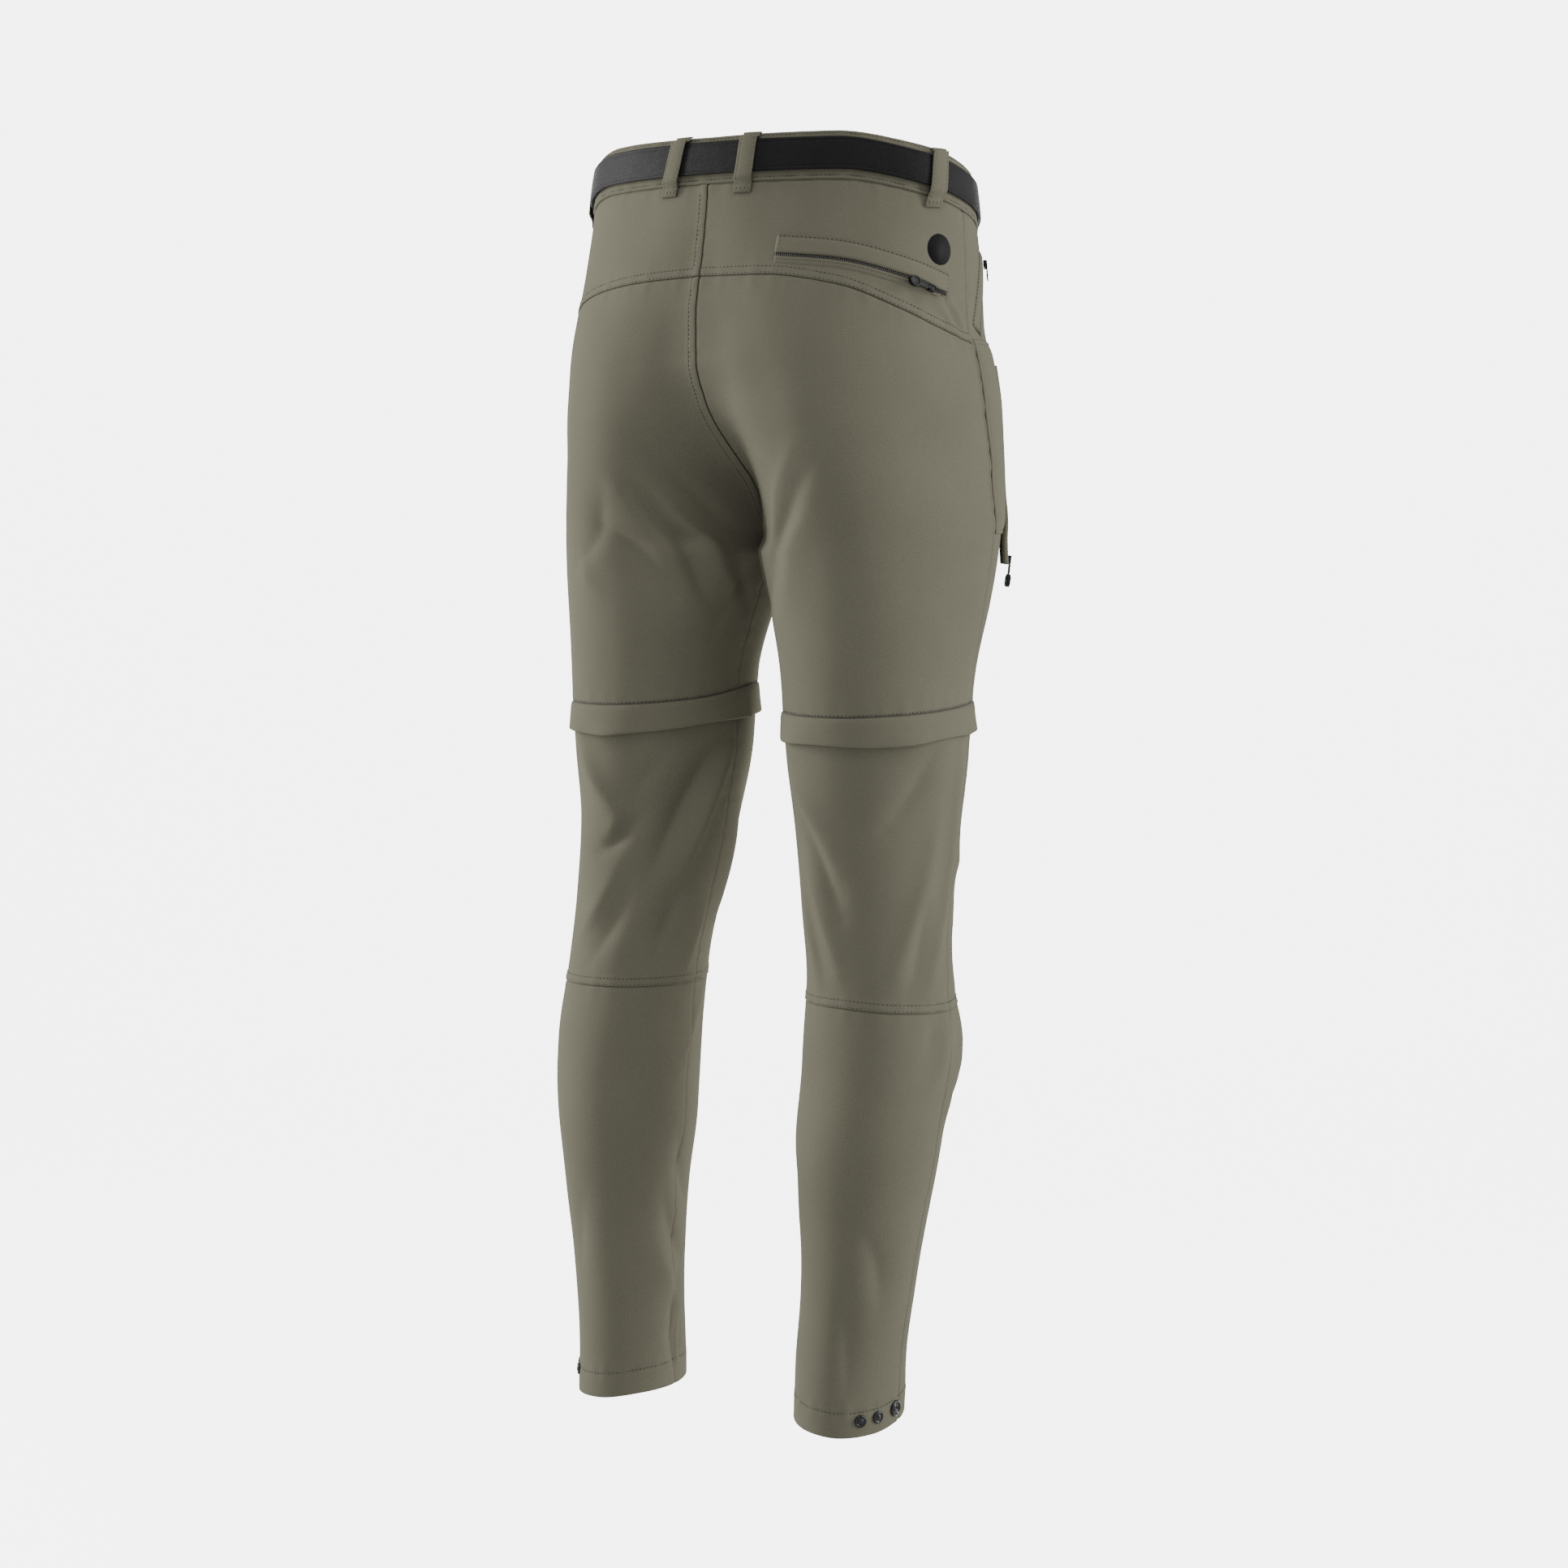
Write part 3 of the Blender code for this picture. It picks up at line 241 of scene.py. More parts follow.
wl.new(weave_in.outputs["Light thread"], dyed.inputs["B"])
wl.new(dyed.outputs["Result"], weave_out.inputs["Color"])
matt = wn.new("ShaderNodeMapRange")
matt.inputs["To Min"].default_value = 0.58
matt.inputs["To Max"].default_value = 0.72
wl.new(cloudy.outputs["Fac"], matt.inputs["Value"])
wl.new(matt.outputs["Result"], weave_out.inputs["Roughness"])
relief = wn.new("ShaderNodeMix")
relief.data_type = "FLOAT"
relief.inputs["Factor"].default_value = 0.45
wl.new(crossing.outputs[0], relief.inputs["A"])
wl.new(heather.outputs["Fac"], relief.inputs["B"])
bumped = wn.new("ShaderNodeBump")
bumped.inputs["Distance"].default_value = 0.0003
wl.new(weave_in.outputs["Relief"], bumped.inputs["Strength"])
wl.new(relief.outputs["Result"], bumped.inputs["Height"])
wl.new(bumped.outputs["Normal"], weave_out.inputs["Normal"])


def woven(name, light, dark, threads_per_metre, mottle, relief_strength, sheen):
    """A woven material, whose threads follow the cut pieces."""
    material = bpy.data.materials.new(name)
    material.use_nodes = True
    nodes, links = material.node_tree.nodes, material.node_tree.links
    shader = nodes["Principled BSDF"]
    group = nodes.new("ShaderNodeGroup")
    group.node_tree = weave
    group.inputs["Threads per metre"].default_value = threads_per_metre
    group.inputs["Light thread"].default_value = (*light, 1.0)
    group.inputs["Dark thread"].default_value = (*dark, 1.0)
    group.inputs["Mottle"].default_value = mottle
    group.inputs["Relief"].default_value = relief_strength
    links.new(group.outputs["Color"], shader.inputs["Base Color"])
    links.new(group.outputs["Roughness"], shader.inputs["Roughness"])
    links.new(group.outputs["Normal"], shader.inputs["Normal"])
    shader.inputs["Specular IOR Level"].default_value = 0.0
    shader.inputs["Sheen Weight"].default_value = sheen
    shader.inputs["Sheen Roughness"].default_value = 0.45
    shader.inputs["Sheen Tint"].default_value = (0.95, 0.92, 0.82, 1.0)
    return material


OLIVE = woven("olive_cloth", (0.127, 0.124, 0.093), (0.074, 0.071, 0.052), 1600.0, 0.55, 0.25, 0.0)
TAPE = woven("zip_tape", (0.075, 0.073, 0.058), (0.030, 0.029, 0.024), 1100.0, 0.35, 0.5, 0.1)

# Cloth form: the worn shape that every panel is cut from, as a stack of half sections.
# Each section is a back half then a front half, made of soft arcs between named points.
SECTION_COLUMNS = (
    "height", "side_x", "side_y", "back_x", "back_y", "front_x", "front_y", "inner_x", "back_rise",
    "front_rise", "hook",
)
SECTIONS = (
    (0.050, 0.1570, 0.006, 0.000, 0.1090, 0.000, -0.1080, 0.000, 0.1090, -0.1080, 0.00),
    (0.000, 0.1655, 0.006, 0.006, 0.1120, 0.006, -0.1120, 0.000, 0.1120, -0.1120, 0.00),
    (-0.050, 0.1695, 0.007, 0.030, 0.1205, 0.030, -0.1110, 0.000, 0.1197, -0.1110, 0.00),
    (-0.100, 0.1722, 0.006, 0.055, 0.1322, 0.050, -0.1110, 0.000, 0.1290, -0.1110, 0.00),
    (-0.130, 0.1760, -0.001, 0.066, 0.1362, 0.060, -0.1120, 0.000, 0.1292, -0.1120, 0.05),
    (-0.165, 0.1788, -0.005, 0.078, 0.1350, 0.070, -0.1130, 0.000, 0.1140, -0.1115, 0.20),
    (-0.200, 0.1795, -0.005, 0.088, 0.1290, 0.080, -0.1120, 0.000, 0.0765, -0.1030, 0.40),
    (-0.230, 0.1818, -0.001, 0.094, 0.1225, 0.087, -0.1080, 0.000, 0.0400, -0.0800, 0.60),
    (-0.255, 0.1848, 0.000, 0.097, 0.1170, 0.092, -0.1020, 0.000, 0.0240, -0.0400, 0.70),
    (-0.270, 0.1850, 0.002, 0.098, 0.1150, 0.094, -0.0980, 0.000, 0.0120, 0.0120, 0.80),
    (-0.280, 0.1846, 0.003, 0.099, 0.1140, 0.096, -0.0950, 0.004, 0.0130, 0.0130, 1.00),
    (-0.320, 0.1820, 0.009, 0.100, 0.1120, 0.100, -0.0830, 0.016, 0.0170, 0.0170, 1.00),
    (-0.380, 0.1759, 0.019, 0.102, 0.1090, 0.102, -0.0640, 0.0285, 0.0225, 0.0225, 1.00),
    (-0.440, 0.1725, 0.024, 0.102, 0.1040, 0.102, -0.0570, 0.0325, 0.0240, 0.0240, 1.00),
    (-0.500, 0.1685, 0.027, 0.105, 0.0978, 0.105, -0.0446, 0.0409, 0.0266, 0.0266, 1.00),
    (-0.560, 0.1691, 0.035, 0.110, 0.0986, 0.110, -0.0296, 0.0501, 0.0345, 0.0345, 1.00),
    (-0.620, 0.1729, 0.042, 0.116, 0.1020, 0.116, -0.0190, 0.0591, 0.0415, 0.0415, 1.00),
    (-0.680, 0.1782, 0.051, 0.119, 0.1131, 0.119, -0.0111, 0.0606, 0.0510, 0.0510, 1.00),
    (-0.740, 0.1733, 0.059, 0.116, 0.1208, 0.116, -0.0018, 0.0593, 0.0595, 0.0595, 1.00),
    (-0.800, 0.1641, 0.063, 0.114, 0.1175, 0.114, 0.0077, 0.0647, 0.0626, 0.0626, 1.00),
    (-0.860, 0.1549, 0.066, 0.110, 0.1160, 0.110, 0.0150, 0.0657, 0.0655, 0.0655, 1.00),
    (-0.920, 0.1481, 0.069, 0.106, 0.1183, 0.106, 0.0207, 0.0643, 0.0695, 0.0695, 1.00),
    (-0.990, 0.1462, 0.071, 0.104, 0.1205, 0.104, 0.0210, 0.0626, 0.0705, 0.0705, 1.00),
)
ROUNDNESS = 0.5523
FORM_STEP = 0.002
FORM_COLUMNS = 61
NORMAL_SMOOTHING = 4
CROTCH_HEIGHT = -0.270
CROTCH_BLEND = 0.012


def curve_through(knots, values, at):
    """Reads a smooth curve through a few values, which never swings past them."""
    knots = np.asarray(knots, float)
    values = np.asarray(values, float)
    at = np.clip(at, knots[0], knots[-1])
    steps = np.diff(knots)
    slopes = np.diff(values) / steps
    tangents = np.zeros(len(knots))
    tangents[0], tangents[-1] = slopes[0], slopes[-1]
    for i in range(1, len(knots) - 1):
        if slopes[i - 1] * slopes[i] > 0.0:
            before = 2.0 * steps[i] + steps[i - 1]
            after = steps[i] + 2.0 * steps[i - 1]
            tangents[i] = (before + after) / (before / slopes[i - 1] + after / slopes[i])
    span = np.clip(np.searchsorted(knots, at, side="right") - 1, 0, len(steps) - 1)
    width = steps[span]
    t = (at - knots[span]) / width
    start, end = values[span], values[span + 1]
    pull = (t ** 3 - 2 * t ** 2 + t) * width * tangents[span]
    push = (t ** 3 - t ** 2) * width * tangents[span + 1]
    return (2 * t ** 3 - 3 * t ** 2 + 1) * start + (3 * t ** 2 - 2 * t ** 3) * end + pull + push


def arc(start, start_pull, end_pull, end, count=24):
    """A Bezier arc from start to end, with its two pulls given as offsets from the ends."""
    t = np.linspace(0.0, 1.0, count)[:, None]
    return ((1 - t) ** 3 * start + 3 * (1 - t) ** 2 * t * (start + start_pull)
            + 3 * (1 - t) * t * t * (end - end_pull) + t ** 3 * end)


def spaced(points, count):
    """The same curve with its points at even distances along it, and its length."""
    lengths = np.r_[0.0, np.cumsum(np.linalg.norm(np.diff(points, axis=0), axis=1))]
    places = np.linspace(0.0, lengths[-1], count)
    return np.column_stack([np.interp(places, lengths, points[:, axis]) for axis in (0, 1)]), lengths[-1]


def half_section(row):
    """One half of the garment at one height: back half then front half, each evenly spaced."""
    side = np.array([row["side_x"], row["side_y"]])
    halves = []
    for end_x, end_y, rise in (("back_x", "back_y", "back_rise"), ("front_x", "front_y", "front_rise")):
        inner = np.array([row["inner_x"], row[rise]])
        outer = np.array([row[end_x], row[end_y]])
        step = ROUNDNESS * (outer - inner)
        near = arc(inner, step * np.array([1.0 - row["hook"], row["hook"]]), step * np.array([1.0, 0.0]), outer)
        step = ROUNDNESS * (side - outer)
        far = arc(outer, step * np.array([1.0, 0.0]), step * np.array([0.0, 1.0]), side)
        halves.append(spaced(np.vstack([near, far[1:]]), FORM_COLUMNS))
    (back, back_length), (front, front_length) = halves
    return np.vstack([back, front[::-1][1:]]), back_length + front_length


table = np.array(SECTIONS)
HEIGHTS = np.arange(table[0, 0], table[-1, 0], -FORM_STEP)
columns = {name: curve_through(-table[:, 0], table[:, i], -HEIGHTS) for i, name in enumerate(SECTION_COLUMNS)}
FORM_POINTS = np.zeros((len(HEIGHTS), 2 * FORM_COLUMNS - 1, 3))
GIRTHS = np.zeros(len(HEIGHTS))
for level, height in enumerate(HEIGHTS):
    row = {name: values[level] for name, values in columns.items()}
    FORM_POINTS[level, :, :2], GIRTHS[level] = half_section(row)
    FORM_POINTS[level, :, 2] = height
along = np.gradient(FORM_POINTS, axis=1)
mirror = np.array([-1.0, 1.0, 1.0])
upper = HEIGHTS > CROTCH_HEIGHT
along[upper, 0] = FORM_POINTS[upper, 1] - FORM_POINTS[upper, 1] * mirror
along[upper, -1] = FORM_POINTS[upper, -2] * mirror - FORM_POINTS[upper, -2]
along[~upper, 0] = along[~upper, -1] = FORM_POINTS[~upper, 1] - FORM_POINTS[~upper, -2]
FORM_NORMALS = np.cross(along, np.gradient(FORM_POINTS, axis=0))
FORM_NORMALS /= np.linalg.norm(FORM_NORMALS, axis=2, keepdims=True)
for _ in range(NORMAL_SMOOTHING):
    FORM_NORMALS[1:-1] = FORM_NORMALS[:-2] + 2.0 * FORM_NORMALS[1:-1] + FORM_NORMALS[2:]
    FORM_NORMALS /= np.linalg.norm(FORM_NORMALS, axis=2, keepdims=True)
meet = np.clip(1.0 - (HEIGHTS - CROTCH_HEIGHT) / CROTCH_BLEND, 0.0, 1.0)[:, None]
middle = FORM_NORMALS[:, 0] + FORM_NORMALS[:, -1]
for edge in (0, -1):
    FORM_NORMALS[:, edge] += meet * (middle / 2.0 - FORM_NORMALS[:, edge])
FORM_NORMALS /= np.linalg.norm(FORM_NORMALS, axis=2, keepdims=True)


def read_form(form, across, height):
    """Reads a table of the cloth form between its rows and columns."""
    level = np.clip((HEIGHTS[0] - height) / FORM_STEP, 0.0, len(HEIGHTS) - 1.001)
    column = np.clip(across, 0.0, 1.0) * (form.shape[1] - 1.001)
    low, left = np.floor(level).astype(int), np.floor(column).astype(int)
    down, right = (level - low)[..., None], (column - left)[..., None]
    top = form[low, left] * (1 - right) + form[low, left + 1] * right
    bottom = form[low + 1, left] * (1 - right) + form[low + 1, left + 1] * right
    return top * (1 - down) + bottom * down


def girth_at(height):
    """Length once across one half of the form at a height."""
    return np.interp(-np.asarray(height, float), -HEIGHTS, GIRTHS)


# Creases of the worn cloth, each a soft trough or ridge from one place to another, unevenly bent.
# The largest ones stand in the solids too; the finer ones are pulled from the crotch, knees and seams.
CREASE_COLUMNS = ("side", "from_across", "from_height", "to_across", "to_height", "half_width", "rise", "bow")
CREASES = (
    # Left thigh, back
    ("left", 0.192, -0.234, 0.098, -0.323, 0.012, 0.0035, 0.004),
    ("left", 0.168, -0.232, 0.096, -0.320, 0.009, -0.0038, 0.004),
    ("left", 0.150, -0.228, 0.050, -0.314, 0.010, 0.0034, 0.003),
    ("left", 0.235, -0.262, 0.150, -0.312, 0.011, -0.0032, -0.003),
    ("left", 0.223, -0.235, 0.290, -0.285, 0.010, -0.0020, -0.004),
    ("left", 0.290, -0.285, 0.262, -0.306, 0.008, 0.0012, 0.002),
    ("left", 0.120, -0.205, 0.060, -0.262, 0.008, -0.0016, 0.002),
    ("left", 0.060, -0.285, 0.010, -0.330, 0.007, -0.0018, 0.001),
    ("left", 0.030, -0.290, 0.075, -0.345, 0.008, -0.0014, 0.002),
    # Right thigh, back
    ("right", 0.231, -0.225, 0.188, -0.312, 0.013, 0.0022, 0.002),
    ("right", 0.212, -0.229, 0.119, -0.316, 0.011, -0.0032, 0.003),
    ("right", 0.181, -0.203, 0.150, -0.290, 0.010, 0.0018, 0.002),
    ("right", 0.060, -0.262, 0.045, -0.340, 0.009, 0.0024, 0.002),
    ("right", 0.085, -0.262, 0.075, -0.330, 0.008, -0.0020, 0.002),
    ("right", 0.020, -0.285, 0.030, -0.370, 0.006, -0.0014, 0.001),
    # Left upper calf, back
    ("left", 0.317, -0.433, 0.231, -0.491, 0.012, 0.0035, 0.004),
    ("left", 0.231, -0.491, 0.262, -0.512, 0.008, 0.0022, -0.002),
    ("left", 0.195, -0.494, 0.268, -0.522, 0.010, -0.0036, -0.002),
    ("left", 0.046, -0.436, 0.154, -0.536, 0.014, -0.0050, 0.003),
    ("left", 0.012, -0.440, 0.090, -0.540, 0.008, 0.0036, 0.002),
    ("left", 0.150, -0.440, 0.205, -0.482, 0.009, -0.0014, 0.002),
    ("left", 0.196, -0.549, 0.267, -0.609, 0.013, -0.0025, -0.003),
    ("left", 0.230, -0.535, 0.310, -0.590, 0.010, 0.0016, -0.003),
    ("left", 0.081, -0.551, 0.117, -0.606, 0.010, -0.0030, 0.002),
    ("left", 0.015, -0.575, 0.040, -0.624, 0.008, 0.0025, 0.001),
    ("left", 0.048, -0.640, 0.070, -0.670, 0.009, -0.0020, 0.001),
    ("left", -0.045, -0.640, 0.020, -0.700, 0.008, 0.0016, 0.002),
    ("left", 0.957, -0.490, 0.952, -0.578, 0.012, 0.0036, 0.001),
    # Right upper calf, back
    ("right", 0.154, -0.451, 0.250, -0.524, 0.011, 0.0030, 0.004),
    ("right", 0.185, -0.495, 0.258, -0.558, 0.010, -0.0030, 0.002),
    ("right", 0.181, -0.525, 0.242, -0.602, 0.010, 0.0025, 0.002),
    ("right", 0.146, -0.552, 0.185, -0.614, 0.008, 0.0016, 0.001),
    ("right", 0.160, -0.545, 0.205, -0.612, 0.008, -0.0014, 0.001),
    ("right", 0.435, -0.440, 0.358, -0.488, 0.012, -0.0025, 0.003),
    ("right", 0.462, -0.486, 0.377, -0.600, 0.012, 0.0024, 0.004),
    ("right", 0.440, -0.560, 0.404, -0.614, 0.009, -0.0025, 0.002),
    ("right", 0.523, -0.432, 0.500, -0.560, 0.009, 0.0020, 0.002),
    ("right", 0.510, -0.545, 0.450, -0.620, 0.008, 0.0016, 0.002),
    ("right", 0.521, -0.640, 0.473, -0.690, 0.010, 0.0020, 0.002),
    ("right", 0.470, -0.638, 0.444, -0.668, 0.008, -0.0014, 0.001),
    # Gathers by the back pocket's lower end, and elastic gathers at the left hem
    ("right", 0.425, -0.087, 0.462, -0.113, 0.0034, 0.0012, 0.001),
    ("right", 0.436, -0.085, 0.476, -0.109, 0.0032, -0.0012, 0.001),
    ("right", 0.448, -0.084, 0.486, -0.105, 0.0032, 0.0011, 0.001),
    ("right", 0.458, -0.083, 0.494, -0.100, 0.0030, -0.0009, 0.001),
    ("left", 0.962, -0.918, 0.972, -0.950, 0.0036, -0.0014, 0.001),
    ("left", 0.984, -0.915, 0.990, -0.952, 0.0036, -0.0016, 0.001),
    ("left", 1.008, -0.912, 1.004, -0.950, 0.0034, -0.0014, 0.001),
    ("left", 0.973, -0.920, 0.981, -0.950, 0.0034, 0.0012, 0.001),
    # Shins and lower calves
    ("right", 0.610, -0.630, 0.575, -0.705, 0.020, 0.0045, 0.002),
    ("left", 0.610, -0.630, 0.575, -0.705, 0.020, 0.0035, 0.002),
    ("right", 0.350, -0.811, 0.404, -0.864, 0.011, -0.0018, 0.003),
    ("right", 0.300, -0.860, 0.330, -0.930, 0.010, -0.0014, 0.002),
    ("right", 0.140, -0.760, 0.131, -0.812, 0.009, 0.0012, 0.001),
    ("left", 0.277, -0.809, 0.312, -0.869, 0.012, -0.0012, 0.002),
    ("left", 0.019, -0.758, -0.056, -0.816, 0.009, -0.0020, 0.003),
    ("left", 0.050, -0.806, -0.050, -0.868, 0.010, -0.0024, 0.004),
    ("left", 0.070, -0.845, -0.030, -0.900, 0.010, 0.0018, 0.003),
    ("left", -0.023, -0.874, 0.000, -0.928, 0.007, -0.0018, 0.002),
    ("right", -0.020, -0.790, 0.060, -0.850, 0.009, -0.0016, 0.003),
    ("right", -0.030, -0.850, 0.040, -0.905, 0.009, -0.0016, 0.002),
    # Fronts: pulled from the crotch, across the knees and above the hems
    ("left", 0.900, -0.232, 0.640, -0.205, 0.012, -0.0028, 0.006),
    ("left", 0.930, -0.262, 0.700, -0.262, 0.010, -0.0022, 0.006),
    ("left", 0.880, -0.247, 0.690, -0.232, 0.009, 0.0018, 0.005),
    ("right", 0.900, -0.226, 0.760, -0.200, 0.012, -0.0028, 0.005),
    ("right", 0.935, -0.264, 0.730, -0.268, 0.010, -0.0022, 0.006),
    ("right", 0.890, -0.245, 0.740, -0.232, 0.009, 0.0018, 0.004),
    ("left", 0.600, -0.520, 0.790, -0.488, 0.013, 0.0030, -0.006),
    ("left", 0.620, -0.566, 0.840, -0.548, 0.013, 0.0030, -0.006),
    ("left", 0.610, -0.540, 0.815, -0.518, 0.010, -0.0022, -0.006),
    ("left", 0.640, -0.450, 0.720, -0.492, 0.010, -0.0018, 0.004),
    ("right", 0.600, -0.526, 0.780, -0.500, 0.013, 0.0030, -0.006),
    ("right", 0.640, -0.574, 0.850, -0.540, 0.013, 0.0025, -0.006),
    ("right", 0.620, -0.548, 0.820, -0.520, 0.010, -0.0022, -0.006),
    ("right", 0.880, -0.455, 0.780, -0.498, 0.010, -0.0018, 0.004),
    ("left", 0.700, -0.800, 0.820, -0.850, 0.012, -0.0018, 0.004),
    ("left", 0.840, -0.860, 0.720, -0.905, 0.011, -0.0018, 0.004),
    ("right", 0.690, -0.815, 0.800, -0.862, 0.012, -0.0018, 0.004),
    ("right", 0.850, -0.870, 0.740, -0.912, 0.011, -0.0018, 0.004),
)
CREASE_END_SHARE = 0.12
CREASE_CREST = 1.45
CREASE_GAIN = 1.80
DRAPE_SWELL = 0.00045
DRAPE_WAVES = 28


def crease_rise(side, across, height):
    """How far the creases move the cloth out, or in, at each place. Leg creases run on past the inseam."""
    rise = np.zeros(np.shape(across))
    for values in CREASES:
        crease = dict(zip(CREASE_COLUMNS, values))
        if crease["side"] != side:
            continue
        girth = girth_at(crease["from_height"])
        run = np.array([(crease["to_across"] - crease["from_across"]) * girth,
                        crease["to_height"] - crease["from_height"]])
        length = np.linalg.norm(run)
        beside = np.array([-run[1], run[0]]) / length
        turns = (-1, 0, 1) if crease["from_height"] < CROTCH_HEIGHT else (0,)
        for turn in turns:
            away = np.stack([(across + turn - crease["from_across"]) * girth, height - crease["from_height"]],
                            axis=-1)
            share = away @ run / length ** 2
            off = away @ beside - crease["bow"] * 4.0 * share * (1.0 - share)
            past = (share - np.clip(share, 0.0, 1.0)) * length
            width = crease["half_width"] * np.where(off > 0.0, 1.25, 0.75)
            held = np.clip(share, 0.0, 1.0)
            taper = np.sin(math.pi * (CREASE_END_SHARE + (1.0 - 2.0 * CREASE_END_SHARE) * held))
            across_it = np.exp(-np.abs(off / width) ** CREASE_CREST)
            rise += CREASE_GAIN * crease["rise"] * taper * across_it * np.exp(-(past / crease["half_width"]) ** 2)
    return rise


chance = np.random.default_rng(41)
wave_turns = chance.normal(size=(DRAPE_WAVES, 3))
wave_turns /= np.linalg.norm(wave_turns, axis=1, keepdims=True)
wave_turns *= 2.0 * math.pi / chance.uniform(0.045, 0.16, size=(DRAPE_WAVES, 1))
wave_starts = chance.uniform(0.0, 2.0 * math.pi, size=DRAPE_WAVES)


def drape_rise(points):
    """Slight unevenness of the hanging cloth, the same on pieces that meet."""
    return DRAPE_SWELL * np.sin(points @ wave_turns.T + wave_starts).sum(axis=-1) / math.sqrt(DRAPE_WAVES / 2.0)


def on_cloth(side, across, height, lift=0.0):
    """Points at places on the cloth's outer face, moved out by lift, with their normals."""
    across, height = np.broadcast_arrays(np.asarray(across, float), np.asarray(height, float))
    points = read_form(FORM_POINTS, across, height)
    normals = read_form(FORM_NORMALS, across, height)
    normals = normals / np.linalg.norm(normals, axis=-1, keepdims=True)
    if side == "right":
        flip = np.array([-1.0, 1.0, 1.0])
        points, normals = points * flip, normals * flip
    rise = crease_rise(side, across, height) + drape_rise(points) + lift
    return points + normals * rise[..., None], normals


# Cut lines: where each panel ends, as pairs of a place across and a height for each half.
# The side seam leans forward down the thigh.
LINES = {
    "waist_top": {
        "left": ((0.0, 0.0410), (0.25, 0.0420), (0.41, 0.0325), (0.52, 0.0225), (0.75, 0.0040), (1.0, -0.0040)),
        "right": ((0.0, 0.0410), (0.25, 0.0420), (0.41, 0.0325), (0.52, 0.0225), (0.75, 0.0040), (1.0, -0.0040)),
    },
    "waist_seam": {
        "left": ((0.0, 0.005), (0.25, 0.005), (0.41, -0.006), (0.52, -0.017), (0.75, -0.035), (1.0, -0.044)),
        "right": ((0.0, 0.005), (0.25, 0.005), (0.41, -0.006), (0.52, -0.017), (0.75, -0.035), (1.0, -0.044)),
    },
    "yoke_seam": {
        "left": ((0.0, -0.066), (0.12, -0.069), (0.25, -0.076), (0.32, -0.082), (0.50, -0.108),
                 (1.0, -0.120)),
        "right": ((0.0, -0.066), (0.13, -0.067), (0.25, -0.0755), (0.36, -0.095), (0.42, -0.106), (0.50, -0.116),
                  (1.0, -0.122)),
    },
    "crotch": {
        "left": ((0.0, CROTCH_HEIGHT), (1.0, CROTCH_HEIGHT)),
        "right": ((0.0, CROTCH_HEIGHT), (1.0, CROTCH_HEIGHT)),
    },
    "knee_stitch": {
        "left": ((0.0, -0.3915), (0.08, -0.397), (0.18, -0.401), (0.26, -0.403), (0.50, -0.401),
                 (0.75, -0.391), (0.93, -0.388), (1.0, -0.3915)),
        "right": ((0.0, -0.4030), (0.26, -0.406), (0.375, -0.404), (0.54, -0.399), (0.75, -0.394), (1.0, -0.4030)),
    },
    "flap_edge": {
        "left": ((0.0, -0.4155), (0.12, -0.420), (0.20, -0.4235), (0.265, -0.4278), (0.36, -0.4255),
                 (0.50, -0.4235), (0.75, -0.413), (0.90, -0.4118), (1.0, -0.4155)),
        "right": ((0.0, -0.4225), (0.25, -0.4282), (0.50, -0.4230), (0.75, -0.4150), (1.0, -0.4225)),
    },
    "calf_seam": {
        "left": ((0.0, -0.632), (0.25, -0.633), (0.50, -0.635), (0.75, -0.630), (1.0, -0.632)),
        "right": ((0.0, -0.632), (0.24, -0.631), (0.37, -0.634), (0.525, -0.637), (0.75, -0.632), (1.0, -0.632)),
    },
    "hem": {
        "left": ((0.0, -0.9655), (0.125, -0.967), (0.25, -0.9715), (0.38, -0.973), (0.50, -0.971),
                 (0.75, -0.962), (0.90, -0.964), (1.0, -0.9655)),
        "right": ((0.0, -0.959), (0.115, -0.963), (0.24, -0.967), (0.32, -0.969), (0.41, -0.968),
                  (0.54, -0.962), (0.75, -0.954), (1.0, -0.959)),
    },
}
SIDE_SEAM = (
    (0.050, 0.505), (-0.110, 0.500), (-0.160, 0.506), (-0.210, 0.524), (-0.280, 0.530), (-0.360, 0.548),
    (-0.420, 0.564), (-0.500, 0.540), (-0.640, 0.525), (-0.990, 0.520),
)


def line_height(side, line, across):
    """The height of a sewn line at each place across one half."""
    places, heights = zip(*LINES[line][side])
    return curve_through(places, heights, across)


def side_seam(height):
    """The place across of the side seam at each height."""
    heights, places = zip(*SIDE_SEAM)
    return curve_through([-value for value in heights], places, -np.asarray(height, float))


def step_between(low, high, value):
    """0 below low, 1 above high, with a soft step between them."""
    share = np.clip((value - low) / (high - low), 0.0, 1.0)
    return share * share * (3.0 - 2.0 * share)


